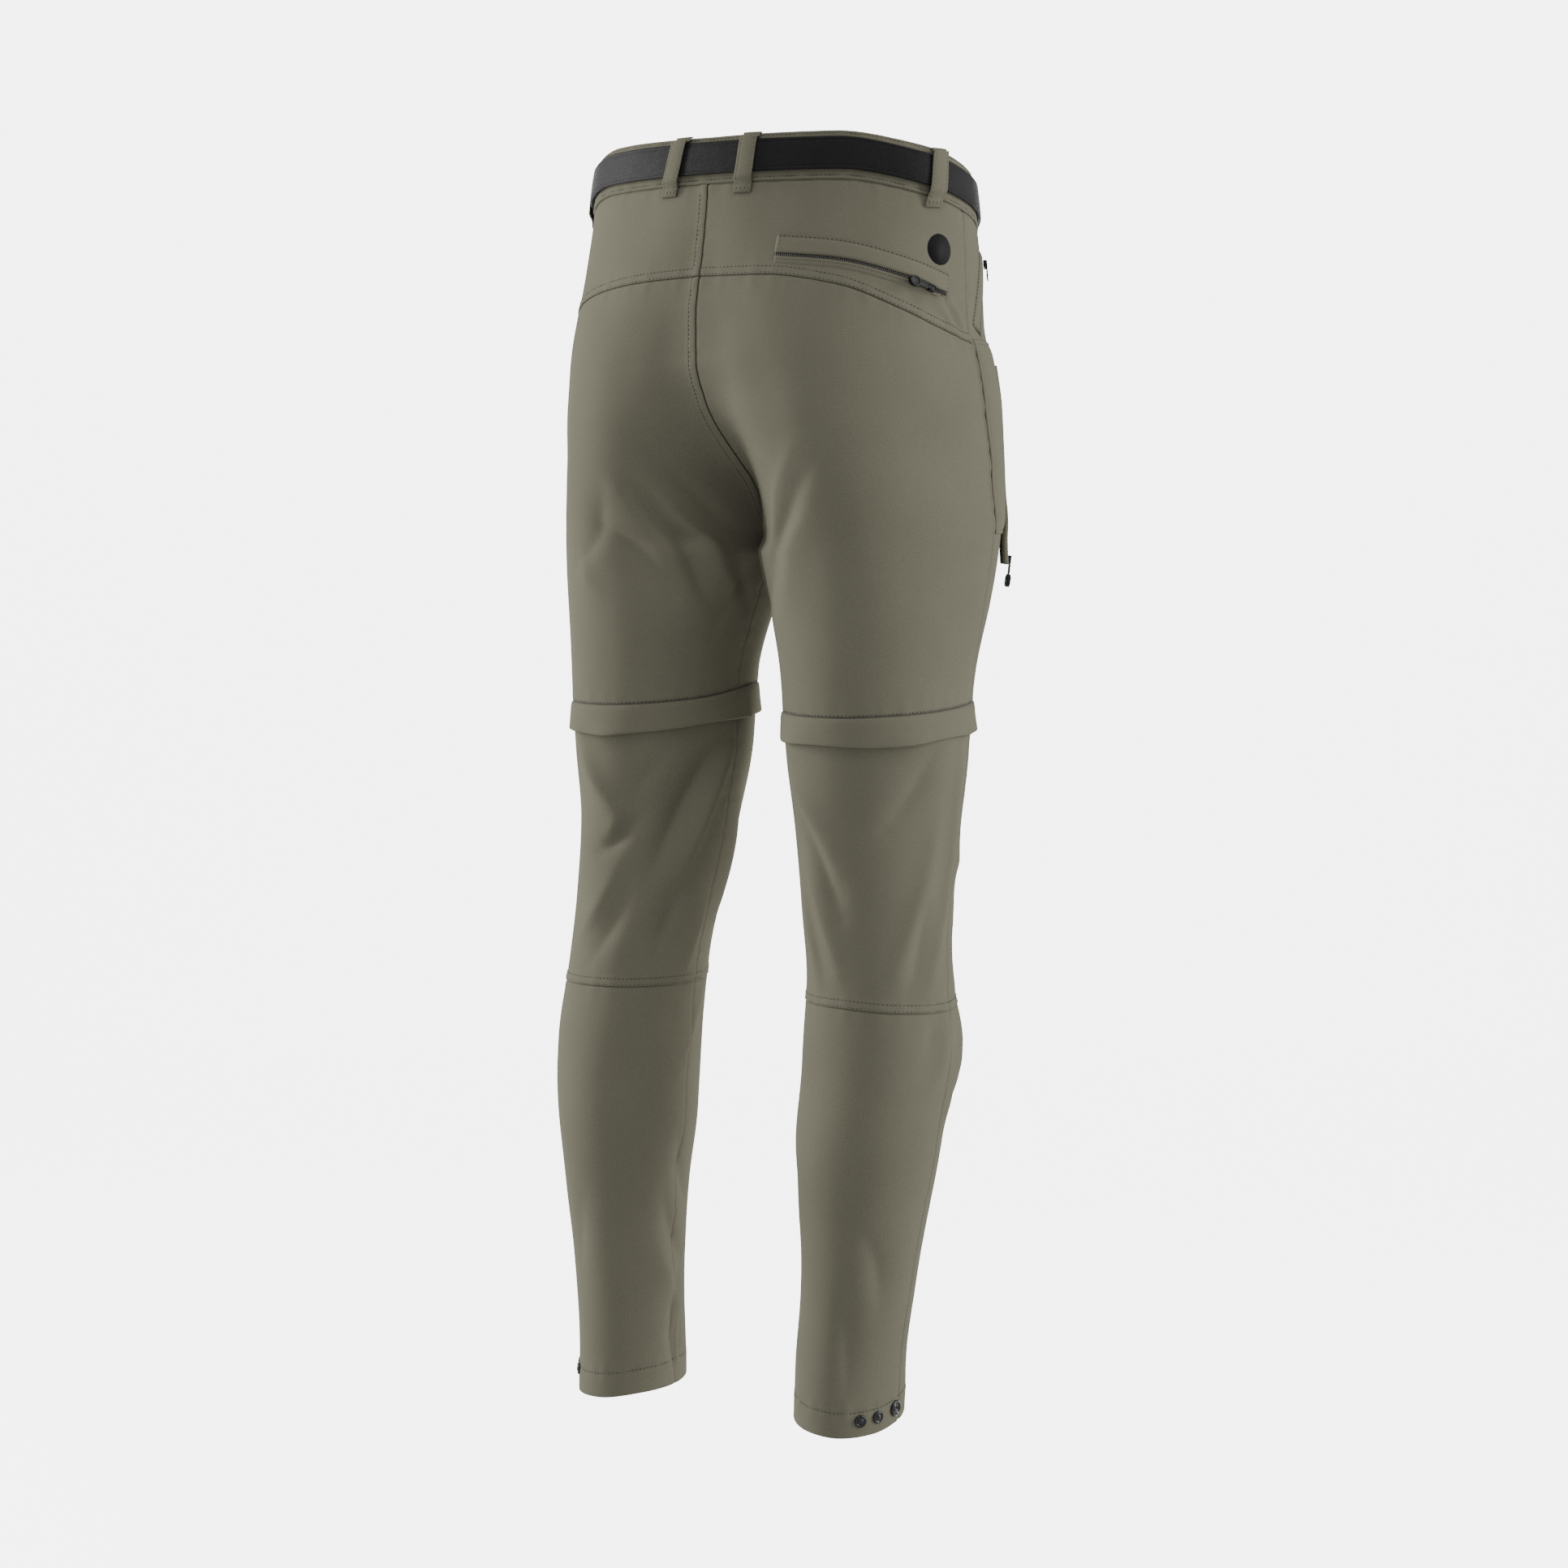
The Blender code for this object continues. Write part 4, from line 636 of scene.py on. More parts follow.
# Sewn edges. A lapped edge is folded under and sewn twice, so a band beside it stands proud between
# the fold and the second row of stitches; the piece below tucks in under it. A plain seam is a groove.
SEAM_BAND = 0.0068
SEAM_PROUD = 0.00060
STITCH_DENT = 0.00045
TUCK_DEPTH = 0.0007
MEET_DEPTH = 0.0005
GROOVE_DEPTH = 0.0007
HEM_DEPTH = 0.0200
PUCKER = 0.00040
EDGE_STOPS = {
    # distances from the edge at which a panel's grid has a row
    "lapped": (0.0, 0.0005, 0.0011, 0.0020, 0.0034, 0.0048, 0.0056, 0.0062, 0.0068, 0.0078, 0.0092, 0.0115),
    "tucked": (-0.0026, -0.0010, 0.0, 0.0007, 0.0014, 0.0022, 0.0036, 0.0055),
    "met": (0.0, 0.0006, 0.0013, 0.0022, 0.0036, 0.0055),
    "plain": (0.0, 0.0004, 0.0009, 0.0015, 0.0024, 0.0036, 0.0055),
    "hemmed": (0.0, 0.0006, 0.0015, 0.0040, 0.0080, 0.0130, 0.0175, 0.0190, 0.0197, 0.0204, 0.0214, 0.0230),
    "free": (0.0, 0.0010, 0.0030),
}


def edge_lift(kind, distance, along):
    """How far sewing lifts or sinks the cloth, at a distance from an edge and a place along it."""
    ripple = (np.sin(along * 410.0) + 0.7 * np.sin(along * 267.0 + 1.3) + 0.5 * np.sin(along * 671.0 + 0.6)) / 1.6
    pucker = PUCKER * ripple * np.exp(-np.abs(distance - 0.004) / 0.006)
    if kind == "lapped":
        band = SEAM_PROUD * (1.0 - step_between(SEAM_BAND - 0.0002, SEAM_BAND + 0.0016, distance))
        rows = np.exp(-((distance - SEAM_BAND + 0.0006) / 0.0008) ** 2)
        return band - STITCH_DENT * rows - 0.0003 * np.exp(-(distance / 0.0006) ** 2) + 0.7 * pucker
    if kind == "tucked":
        return -TUCK_DEPTH * (1.0 - step_between(-0.0002, 0.0022, distance)) + 0.7 * pucker
    if kind == "met":
        return -MEET_DEPTH * (1.0 - step_between(0.0, 0.0022, distance)) + 0.7 * pucker
    if kind == "plain":
        return -GROOVE_DEPTH * np.exp(-(distance / 0.0013) ** 2) + pucker
    if kind == "hemmed":
        band = 0.0004 * (1.0 - step_between(HEM_DEPTH - 0.0003, HEM_DEPTH + 0.0016, distance))
        rows = np.exp(-((distance - HEM_DEPTH + 0.0004) / 0.0009) ** 2)
        near = PUCKER * ripple * np.exp(-((distance - HEM_DEPTH) / 0.007) ** 2)
        return band - 1.3 * STITCH_DENT * rows + near
    return np.zeros(np.shape(distance))


def stops(length, near, far, step):
    """Where a panel's rows lie: shares of the way from one edge to the other, and offsets in metres."""
    near, far = np.array(near), np.array(far)
    count = max(2, int(round((length - near[-1] - far[-1]) / step)))
    middle = np.linspace(0.0, 1.0, count + 1)[1:-1]
    share = np.r_[np.zeros(len(near)), middle, np.ones(len(far))]
    return share, np.r_[near, near[-1] * (1.0 - middle) - far[-1] * middle, -far[::-1]]


def bend_grid(name, points, normals, cut_places, material, thickness):
    """A cloth piece: a grid bent onto its points, with a cut map in metres and a thin wall inwards."""
    rows, count = points.shape[:2]
    cloth = bmesh.new()
    bmesh.ops.create_grid(cloth, x_segments=count - 1, y_segments=rows - 1, size=1.0)
    cut_map = cloth.loops.layers.uv.new("cut")
    places = {}
    for vertex in cloth.verts:
        column = round((vertex.co.x + 1.0) / 2.0 * (count - 1))
        row = round((vertex.co.y + 1.0) / 2.0 * (rows - 1))
        places[vertex] = (row, column)
        vertex.co = points[row, column]
    for face in cloth.faces:
        for corner in face.loops:
            corner[cut_map].uv = cut_places[places[corner.vert]]
    cloth.faces.ensure_lookup_table()
    middle = cloth.faces[len(cloth.faces) // 2]
    middle.normal_update()
    if middle.normal.dot(Vector(normals[places[middle.verts[0]]])) < 0.0:
        bmesh.ops.reverse_faces(cloth, faces=cloth.faces)
    mesh = bpy.data.meshes.new(name)
    cloth.to_mesh(mesh)
    cloth.free()
    mesh.materials.append(material)
    mesh.shade_smooth()
    piece = bpy.data.objects.new(name, mesh)
    bpy.context.scene.collection.objects.link(piece)
    if thickness > 0.0:
        wall = piece.modifiers.new("wall", "SOLIDIFY")
        wall.thickness = thickness
        wall.offset = -1.0
    return piece


NARROWEST_CUT = 0.0105


def declare_cloth(piece, cut_places, held, rests_on, *nodes):
    """Attaches a cloth piece to the trousers and hides the solids it stands for."""
    width, length = np.ptp(cut_places.reshape(-1, 2), axis=0)
    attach(piece, "trousers")
    if nodes:
        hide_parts(*nodes)
    width, length = max(float(width), NARROWEST_CUT), max(float(length), NARROWEST_CUT)


PANEL_STEP = 0.0030
CLOTH_THICKNESS = 0.0011


def panel_edges(half, height):
    """Places across of a panel's back and front edges at each height."""
    seam = side_seam(height)
    if half == "back":
        return np.zeros_like(seam), seam
    return seam, np.ones_like(seam)


def seat_lift(kind, distance, height):
    """Sewing along the middle seams: lapped or met on the seat, a plain seam down the inside leg."""
    seat = step_between(CROTCH_HEIGHT - 0.004, CROTCH_HEIGHT + 0.020, height)
    return seat * edge_lift(kind, distance, height) + (1.0 - seat) * edge_lift("plain", distance, height)


def panel_line(side, half, line, shift, share, offset):
    """Heights of a sewn line at the columns of a panel."""
    height = line_height(side, line, share)
    for _ in range(6):
        start, end = panel_edges(half, height)
        across = start + share * (end - start) + offset / girth_at(height)
        height = line_height(side, line, np.clip(across, 0.0, 1.0)) + shift
    return height


def sewn_panel(name, side, half, top, bottom, kinds, rests_on, top_shift=0.0):
    """One cut panel between two sewn lines, whose edges are sewn as kinds says: top, bottom, middle, side."""
    top_kind, bottom_kind, middle_kind, side_kind = kinds
    near, far = (middle_kind, side_kind) if half == "back" else (side_kind, middle_kind)
    width = float(girth_at(np.mean([line_height(side, top, 0.5), line_height(side, bottom, 0.5)]))) / 2.0
    share, offset = stops(width, EDGE_STOPS[near], EDGE_STOPS[far], PANEL_STEP)
    top_height = panel_line(side, half, top, top_shift, share, offset)
    bottom_height = panel_line(side, half, bottom, 0.0, share, offset)
    length = float(np.mean(top_height - bottom_height))
    row_share, row_offset = stops(length, EDGE_STOPS[top_kind], EDGE_STOPS[bottom_kind], PANEL_STEP)
    height = top_height + row_share[:, None] * (bottom_height - top_height) - row_offset[:, None]
    start, end = panel_edges(half, height)
    girth = girth_at(height)
    across = start + share * (end - start) + offset / girth
    middle_gap = (across - start if half == "back" else end - across) * girth
    side_gap = (end - across if half == "back" else across - start) * girth
    lift = edge_lift(top_kind, top_height - height, across * girth)
    lift = lift + edge_lift(bottom_kind, height - bottom_height, across * girth)
    lift = lift + seat_lift(middle_kind, middle_gap, height) + edge_lift(side_kind, side_gap, height)
    points, normals = on_cloth(side, across, height, lift)
    cut_places = np.stack([across * girth, height], axis=-1)
    piece = bend_grid(f"{name}_{side}_cloth", points, normals, cut_places, OLIVE, CLOTH_THICKNESS)
    declare_cloth(piece, cut_places, "hung", rests_on, f"{name}_{side}")
    return piece


# Sewing thread: dull polyester, darker than the cloth, laid as short sunk stitches.
# Each run of stitches follows a line on the cloth.
THREAD_PITCH = 0.0034
THREAD_LENGTH = 0.0023
THREAD_WIDTH = 0.00070
thread_and_hole_shade_material = bpy.data.materials.new("sewing_thread")
thread_and_hole_shade_material.use_nodes = True
thread_nodes, thread_links = thread_and_hole_shade_material.node_tree.nodes, thread_and_hole_shade_material.node_tree.links
thread_shader = thread_nodes["Principled BSDF"]
thread_shader.inputs["Roughness"].default_value = 0.55
thread_place = thread_nodes.new("ShaderNodeTexCoord")
twist = thread_nodes.new("ShaderNodeTexNoise")
twist.inputs["Scale"].default_value = 2500.0
thread_links.new(thread_place.outputs["Object"], twist.inputs["Vector"])
# The thread's own colour. The same material paints the shade of each belt hole as a dark disc.
thread_shades = thread_nodes.new("ShaderNodeMix")
thread_shades.data_type = "RGBA"
thread_shades.inputs["A"].default_value = (0.020, 0.019, 0.013, 1.0)
thread_shades.inputs["B"].default_value = (0.042, 0.040, 0.028, 1.0)
thread_links.new(twist.outputs["Fac"], thread_shades.inputs["Factor"])
thread_links.new(thread_shades.outputs["Result"], thread_shader.inputs["Base Color"])


def sew(stitches, points, normals):
    """Adds a run of stitches along a line of points on the cloth."""
    lengths = np.r_[0.0, np.cumsum(np.linalg.norm(np.diff(points, axis=0), axis=1))]
    places = np.arange(THREAD_PITCH / 2.0, lengths[-1], THREAD_PITCH)
    for place in places:
        at = np.array([np.interp(place, lengths, points[:, axis]) for axis in range(3)])
        ahead = np.array([np.interp(place + 0.001, lengths, points[:, axis]) for axis in range(3)])
        behind = np.array([np.interp(place - 0.001, lengths, points[:, axis]) for axis in range(3)])
        out = Vector([float(np.interp(place, lengths, normals[:, axis])) for axis in range(3)]).normalized()
        along = Vector(ahead - behind)
        along = (along - out * along.dot(out)).normalized()
        turned = Matrix((along, out.cross(along), out)).transposed().to_4x4()
        sized = Matrix.Diagonal((THREAD_LENGTH / 2.0, THREAD_WIDTH / 2.0, THREAD_WIDTH / 2.0, 1.0))
        bmesh.ops.create_icosphere(stitches, subdivisions=1, radius=1.0,
                                   matrix=Matrix.Translation(Vector(at)) @ turned @ sized)


def sew_line(stitches, side, across, height, lift):
    """Adds a run of stitches along places on one half."""
    sew(stitches, *on_cloth(side, across, height, lift))


def finish_sewing(name, stitches):
    """Makes one piece of the stitches of a group of seams."""
    mesh = bpy.data.meshes.new(name)
    stitches.to_mesh(mesh)
    stitches.free()
    mesh.materials.append(thread_and_hole_shade_material)
    mesh.shade_smooth()
    piece = bpy.data.objects.new(name, mesh)
    bpy.context.scene.collection.objects.link(piece)
    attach(piece, "trousers")


# Back yokes: two shaped pieces below the waistband, the left one lapped over the right at centre back
# and both lapped and twice sewn over the thighs.
for side, middle_kind in (("left", "lapped"), ("right", "met")):
    sewn_panel("back_yoke", side, "back", "waist_seam", "yoke_seam", ("tucked", "lapped", middle_kind, "plain"),
               ["waistband"])

# Thigh panels, back and front: the seat seam runs on from the yokes, the side and inside leg seams
# are plain. The lower edge is sewn down over the knee zip.
for side, middle_kind in (("left", "lapped"), ("right", "met")):
    sewn_panel("back_thigh", side, "back", "yoke_seam", "knee_stitch", ("tucked", "met", middle_kind, "plain"),
               [f"back_yoke_{side}"])
    sewn_panel("front_thigh", side, "front", "waist_seam", "knee_stitch", ("tucked", "met", "met", "plain"),
               ["waistband"])

# Seat seam allowances: the raw edges of both backs, pressed flat inside along the centre seam.
# They close the seam from within.
ALLOWANCE = 0.0080
ALLOWANCE_DEPTH = 0.0017
down = np.linspace(0.0060, CROTCH_HEIGHT + 0.008, 90)[:, None]
beside = np.linspace(0.0, ALLOWANCE, 6)[None, :]
left_points, left_normals = on_cloth("left", beside[:, ::-1] / girth_at(down), down, -ALLOWANCE_DEPTH)
right_points, right_normals = on_cloth("right", beside / girth_at(down), down, -ALLOWANCE_DEPTH)
points = np.concatenate([left_points[:, :-1], right_points], axis=1)
normals = np.concatenate([left_normals[:, :-1], right_normals], axis=1)
flat_across = np.r_[-beside[0, ::-1][:-1], beside[0]][None, :]
cut_places = np.stack([flat_across + 0.0 * down, down + 0.0 * flat_across], axis=-1)
allowance = bend_grid("seat_seam_allowance", points, normals, cut_places, OLIVE, 0.0008)
declare_cloth(allowance, cut_places, "hung", ["back_yoke_left", "back_yoke_right"])

# Topstitching of the yokes, the seat and the thighs' lower edges.
seat_stitches = bmesh.new()
fine = np.linspace(0.0, 1.0, 240)
for side in ("left", "right"):
    across = fine * side_seam(line_height(side, "yoke_seam", 0.5))
    sew_line(seat_stitches, side, across, line_height(side, "yoke_seam", across) + SEAM_BAND - 0.0006, 0.0004)
    sew_line(seat_stitches, side, across, line_height(side, "yoke_seam", across) + 0.0012, 0.0006)
    sew_line(seat_stitches, side, fine, line_height(side, "knee_stitch", fine) + 0.0018, 0.0001)
down = np.linspace(-0.0020, CROTCH_HEIGHT + 0.012, 240)
sew_line(seat_stitches, "left", (SEAM_BAND - 0.0006) / girth_at(down), down, 0.0004)
finish_sewing("seat_and_yoke_stitches", seat_stitches)

# Knee zips: woven tape with a coil of plastic teeth, sewn between the thigh and the lower leg.
# The tape is the solid's own ring; the coil runs along its middle under the flap.
KNEE_ZIP_WIDTH = 0.0110
COIL_PITCH = 0.0016
coil_material = bpy.data.materials.new("zip_coil")
coil_material.use_nodes = True
coil_nodes, coil_links = coil_material.node_tree.nodes, coil_material.node_tree.links
coil_shader = coil_nodes["Principled BSDF"]
coil_place = coil_nodes.new("ShaderNodeTexCoord")
coil_wear = coil_nodes.new("ShaderNodeTexNoise")
coil_wear.inputs["Scale"].default_value = 300.0
coil_links.new(coil_place.outputs["Object"], coil_wear.inputs["Vector"])
coil_shades = coil_nodes.new("ShaderNodeMix")
coil_shades.data_type = "RGBA"
coil_shades.inputs["A"].default_value = (0.018, 0.018, 0.017, 1.0)
coil_shades.inputs["B"].default_value = (0.050, 0.049, 0.044, 1.0)
coil_links.new(coil_wear.outputs["Fac"], coil_shades.inputs["Factor"])
coil_links.new(coil_shades.outputs["Result"], coil_shader.inputs["Base Color"])
coil_shader.inputs["Roughness"].default_value = 0.38


def zip_coil(name, points, normals):
    """Plastic zip teeth along a line of points, each a small bead across the line."""
    coil = bmesh.new()
    lengths = np.r_[0.0, np.cumsum(np.linalg.norm(np.diff(points, axis=0), axis=1))]
    for place in np.arange(COIL_PITCH / 2.0, lengths[-1], COIL_PITCH):
        at = Vector([float(np.interp(place, lengths, points[:, axis])) for axis in range(3)])
        ahead = Vector([float(np.interp(place + 0.002, lengths, points[:, axis])) for axis in range(3)])
        out = Vector([float(np.interp(place, lengths, normals[:, axis])) for axis in range(3)]).normalized()
        behind = Vector([float(np.interp(place - 0.002, lengths, points[:, axis])) for axis in range(3)])
        along = ahead - behind
        along = (along - out * along.dot(out)).normalized()
        turned = Matrix((along, out.cross(along), out)).transposed().to_4x4()
        sized = Matrix.Diagonal((0.00062, 0.0021, 0.0007, 1.0))
        bmesh.ops.create_icosphere(coil, subdivisions=1, radius=1.0, matrix=Matrix.Translation(at) @ turned @ sized)
    mesh = bpy.data.meshes.new(name)
    coil.to_mesh(mesh)
    coil.free()
    mesh.materials.append(coil_material)
    mesh.shade_smooth()
    piece = bpy.data.objects.new(name, mesh)
    bpy.context.scene.collection.objects.link(piece)
    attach(piece, "trousers")


def ring_cloth(name, side, top, bottom, lift, material, thickness, held, rests_on, *nodes):
    """A piece that runs once round a leg, between rows of heights given by top and bottom."""
    columns = np.linspace(0.0, 1.0, int(float(girth_at(top.mean())) / PANEL_STEP) + 1)
    rows = lift.shape[0]
    share = np.linspace(0.0, 1.0, rows)[:, None]
    across = np.tile(columns, (rows, 1))
    height = np.interp(columns, fine, top) * (1.0 - share) + np.interp(columns, fine, bottom) * share
    raised = np.array([np.interp(columns, fine, row) for row in lift])
    points, normals = on_cloth(side, across, height, raised)
    cut_places = np.stack([across * girth_at(height), height], axis=-1)
    piece = bend_grid(name, points, normals, cut_places, material, thickness)
    declare_cloth(piece, cut_places, held, rests_on, *nodes)
    return piece


for side in ("left", "right"):
    tape = bpy.data.objects[f"knee_zip_{side}"]
    stitch = line_height(side, "knee_stitch", fine)
    rows = np.zeros((5, len(fine)))
    piece = ring_cloth(f"knee_zip_tape_{side}", side, stitch + 0.001, stitch - KNEE_ZIP_WIDTH - 0.001, rows, TAPE,
                       0.0007, "hung", [f"back_thigh_{side}", f"front_thigh_{side}"], f"knee_zip_{side}")
    zip_coil(f"knee_zip_coil_{side}", *on_cloth(side, fine, stitch - KNEE_ZIP_WIDTH / 2.0, 0.0004))

# Knee flaps: doubled cloth sewn in with the thighs' lower edges, hanging free over the zips.
# The folded edge stands off the leg and waves a little, with a pinch at each seam.
FLAP_ROWS = (
    # share of the way down, lift of the outer face
    (-0.13, -0.0013), (-0.04, -0.0009), (0.00, -0.0003), (0.02, 0.0006), (0.06, 0.0014), (0.20, 0.0022), (0.35, 0.0026), (0.55, 0.0033), (0.75, 0.0040),
    (0.88, 0.0045), (0.95, 0.0047), (0.98, 0.0045), (1.00, 0.0038),
)
FLAP_THICKNESS = 0.0016
for side, pinch, phase in (("left", 0.975, 0.4), ("right", 0.020, 2.1)):
    stitch = line_height(side, "knee_stitch", fine)
    edge = line_height(side, "flap_edge", fine)
    edge = edge + 0.0011 * np.sin(2.0 * math.pi * 4.0 * fine + phase)
    wave = np.sin(2.0 * math.pi * 5.0 * fine + phase) + 0.6 * np.sin(2.0 * math.pi * 9.0 * fine + 2.0 * phase)
    beside = np.exp(-((fine - pinch) / 0.012) ** 2) + 0.7 * np.exp(-((fine - 0.535) / 0.010) ** 2)
    columns = np.linspace(0.0, 1.0, 241)
    shares = np.array([row[0] for row in FLAP_ROWS])[:, None]
    lifts = np.array([row[1] for row in FLAP_ROWS])[:, None]
    waves = np.interp(columns, fine, wave)
    pinches = np.interp(columns, fine, beside)
    height = np.interp(columns, fine, stitch) * (1.0 - shares) + np.interp(columns, fine, edge) * shares
    lifts = lifts + np.clip(shares, 0.0, 1.0) ** 2 * (0.0009 * waves + 0.0018 * pinches)
    across = np.tile(columns, (len(FLAP_ROWS), 1))
    points, normals = on_cloth(side, across, height, lifts)
    cut_places = np.stack([across * girth_at(height), height], axis=-1)
    piece = bend_grid(f"knee_flap_{side}_cloth", points, normals, cut_places, OLIVE, FLAP_THICKNESS)
    declare_cloth(piece, cut_places, "hung", [f"back_thigh_{side}", f"front_thigh_{side}"], f"knee_flap_{side}")

# Lower legs: the upper calf and knee panels start at the knee zip and are lapped over the lower ones,
# which end in a deep hem turned once and sewn.
for side in ("left", "right"):
    for half, above, below in (("back", "back_calf_upper", "back_calf_lower"), ("front", "knee_front", "shin_front")):
        sewn_panel(above, side, half, "knee_stitch", "calf_seam", ("free", "lapped", "plain", "plain"),
                   [f"knee_zip_{side}"], top_shift=-KNEE_ZIP_WIDTH)
        sewn_panel(below, side, half, "calf_seam", "hem", ("tucked", "hemmed", "plain", "plain"), [f"{above}_{side}"])
leg_stitches = bmesh.new()
for side in ("left", "right"):
    seam = line_height(side, "calf_seam", fine)
    sew_line(leg_stitches, side, fine, seam + SEAM_BAND - 0.0006, 0.0004)
    sew_line(leg_stitches, side, fine, seam + 0.0012, 0.0006)
    sew_line(leg_stitches, side, fine, line_height(side, "hem", fine) + HEM_DEPTH - 0.0004, 0.0002)
finish_sewing("lower_leg_stitches", leg_stitches)

# Waistband: a doubled strip of the cloth, its right end passing under the left end at centre front.
# A row of stitches follows each edge.
BAND_THICKNESS = 0.0022
BAND_PROUD = 0.0008
BAND_LAP = 0.08
LYING_GAP = 0.0008
BAND_STOPS = {
    "top": (0.0, 0.0004, 0.0010, 0.0016, 0.0021, 0.0026, 0.0034, 0.0048),
    "bottom": (0.0, 0.0004, 0.0010, 0.0018, 0.0026, 0.0032, 0.0038, 0.0050),
}


def round_waist(place, height, lift):
    """Points round the waist, where place runs from -1, centre front, by the right to 1, by the left."""
    folded = np.where(np.abs(place) > 1.0, 2.0 - np.abs(place), np.abs(place))
    on_left = ((place >= 0.0) != (np.abs(place) > 1.0))[..., None]
    left, left_out = on_cloth("left", folded, height, lift)
    right, right_out = on_cloth("right", folded, height, lift)
    return np.where(on_left, left, right), np.where(on_left, left_out, right_out)


def waist_line(line, place):
    """Height of the waistband's top or seam at places round the waist."""
    folded = np.where(np.abs(place) > 1.0, 2.0 - np.abs(place), np.abs(place))
    return line_height("left", line, folded)


place = np.linspace(-1.0 - BAND_LAP, 0.9995, 331)
top, bottom = waist_line("waist_top", place), waist_line("waist_seam", place) + 0.0001
share, offset = stops(float(np.mean(top - bottom)), BAND_STOPS["top"], BAND_STOPS["bottom"], 0.0030)
height = top + share[:, None] * (bottom - top) - offset[:, None]
from_top, from_bottom = top - height, height - bottom
lift = BAND_PROUD - 0.0009 * np.exp(-(from_top / 0.0007) ** 2) - 0.0004 * np.exp(-((from_top - 0.0021) / 0.0006) ** 2)
lift = lift - 0.0009 * np.exp(-(from_bottom / 0.0006) ** 2) - 0.0005 * np.exp(-((from_bottom - 0.0030) / 0.0006) ** 2)
lift = lift + 0.0004 * np.exp(-((from_bottom - 0.0015) / 0.0009) ** 2)
ripple = np.sin(place * 163.0) + 0.8 * np.sin(place * 97.0 + 1.0)
lift = lift + 0.00022 * ripple * np.exp(-((from_bottom - 0.004) / 0.004) ** 2)
lift = lift + 0.00015 * ripple * np.exp(-((from_top - 0.004) / 0.004) ** 2)
lift = lift - (BAND_THICKNESS + LYING_GAP) * (1.0 - step_between(-1.005, -0.985, place))
points, normals = round_waist(np.tile(place, (len(height), 1)), height, lift)
cut_places = np.stack([place * float(GIRTHS[0]) + 0.0 * height, height], axis=-1)
waistband = bend_grid("waistband_cloth", points, normals, cut_places, OLIVE, BAND_THICKNESS)
declare_cloth(waistband, cut_places, "hung", ["belt"], "waistband")

band_stitches = bmesh.new()
sew(band_stitches, *round_waist(place, top - 0.0021, BAND_PROUD - 0.0003))
sew(band_stitches, *round_waist(place, bottom + 0.0030, BAND_PROUD - 0.0003))
finish_sewing("waistband_stitches", band_stitches)

# Belt: one strap of black fine-grained leather with rounded edges, pressed along both sides, its tip over its other
# end. Near the tip, a flush dark disc stands at each punched hole, painted shade of the hole's inside in place of a cut
# hole.
BELT_WIDTH = 0.0250
BELT_THICKNESS = 0.0026
BELT_ABOVE_SEAM = 0.0070
BELT_TIP_PLACE = 1.14
BELT_PROFILE = (
    # share of the width from the top, lift of the outer face
    (0.000, -0.0010), (0.012, -0.0004), (0.035, -0.0001), (0.070, 0.0), (0.095, -0.0001), (0.110, -0.00035),
    (0.125, -0.0001), (0.160, 0.0), (0.300, 0.0001), (0.500, 0.00015), (0.700, 0.0001), (0.840, 0.0),
    (0.875, -0.0001), (0.890, -0.00035), (0.905, -0.0001), (0.930, 0.0), (0.965, -0.0001), (0.988, -0.0004),
    (1.000, -0.0010),
)
leather = bpy.data.materials.new("belt_leather_black")
leather.use_nodes = True
hide, hide_links = leather.node_tree.nodes, leather.node_tree.links
hide_shader = hide["Principled BSDF"]
hide_place = hide.new("ShaderNodeTexCoord")
pebbles = hide.new("ShaderNodeTexVoronoi")
pebbles.feature = "DISTANCE_TO_EDGE"
pebbles.inputs["Scale"].default_value = 1100.0
hide_links.new(hide_place.outputs["Object"], pebbles.inputs["Vector"])
creased = hide.new("ShaderNodeTexNoise")
creased.inputs["Scale"].default_value = 160.0
creased.inputs["Detail"].default_value = 6.0
hide_links.new(hide_place.outputs["Object"], creased.inputs["Vector"])
worn = hide.new("ShaderNodeTexNoise")
worn.inputs["Scale"].default_value = 18.0
worn.inputs["Detail"].default_value = 5.0
hide_links.new(hide_place.outputs["Object"], worn.inputs["Vector"])
grain = hide.new("ShaderNodeMapRange")
grain.inputs["From Max"].default_value = 0.28
hide_links.new(pebbles.outputs["Distance"], grain.inputs["Value"])
grain_height = hide.new("ShaderNodeMath")
grain_height.operation = "ADD"
hide_links.new(grain.outputs["Result"], grain_height.inputs[0])
hide_links.new(creased.outputs["Fac"], grain_height.inputs[1])
hide_bump = hide.new("ShaderNodeBump")
hide_bump.inputs["Distance"].default_value = 0.00025
hide_bump.inputs["Strength"].default_value = 0.45
hide_links.new(grain_height.outputs[0], hide_bump.inputs["Height"])
hide_links.new(hide_bump.outputs["Normal"], hide_shader.inputs["Normal"])
hide_shades = hide.new("ShaderNodeMix")
hide_shades.data_type = "RGBA"
hide_shades.inputs["A"].default_value = (0.0030, 0.0028, 0.0028, 1.0)
hide_shades.inputs["B"].default_value = (0.0085, 0.0080, 0.0080, 1.0)
hide_links.new(worn.outputs["Fac"], hide_shades.inputs["Factor"])
hide_links.new(hide_shades.outputs["Result"], hide_shader.inputs["Base Color"])
hide_gloss = hide.new("ShaderNodeMapRange")
hide_gloss.inputs["To Min"].default_value = 0.46
hide_gloss.inputs["To Max"].default_value = 0.66
hide_links.new(worn.outputs["Fac"], hide_gloss.inputs["Value"])
hide_links.new(hide_gloss.outputs["Result"], hide_shader.inputs["Roughness"])
hide_shader.inputs["Specular IOR Level"].default_value = 0.10

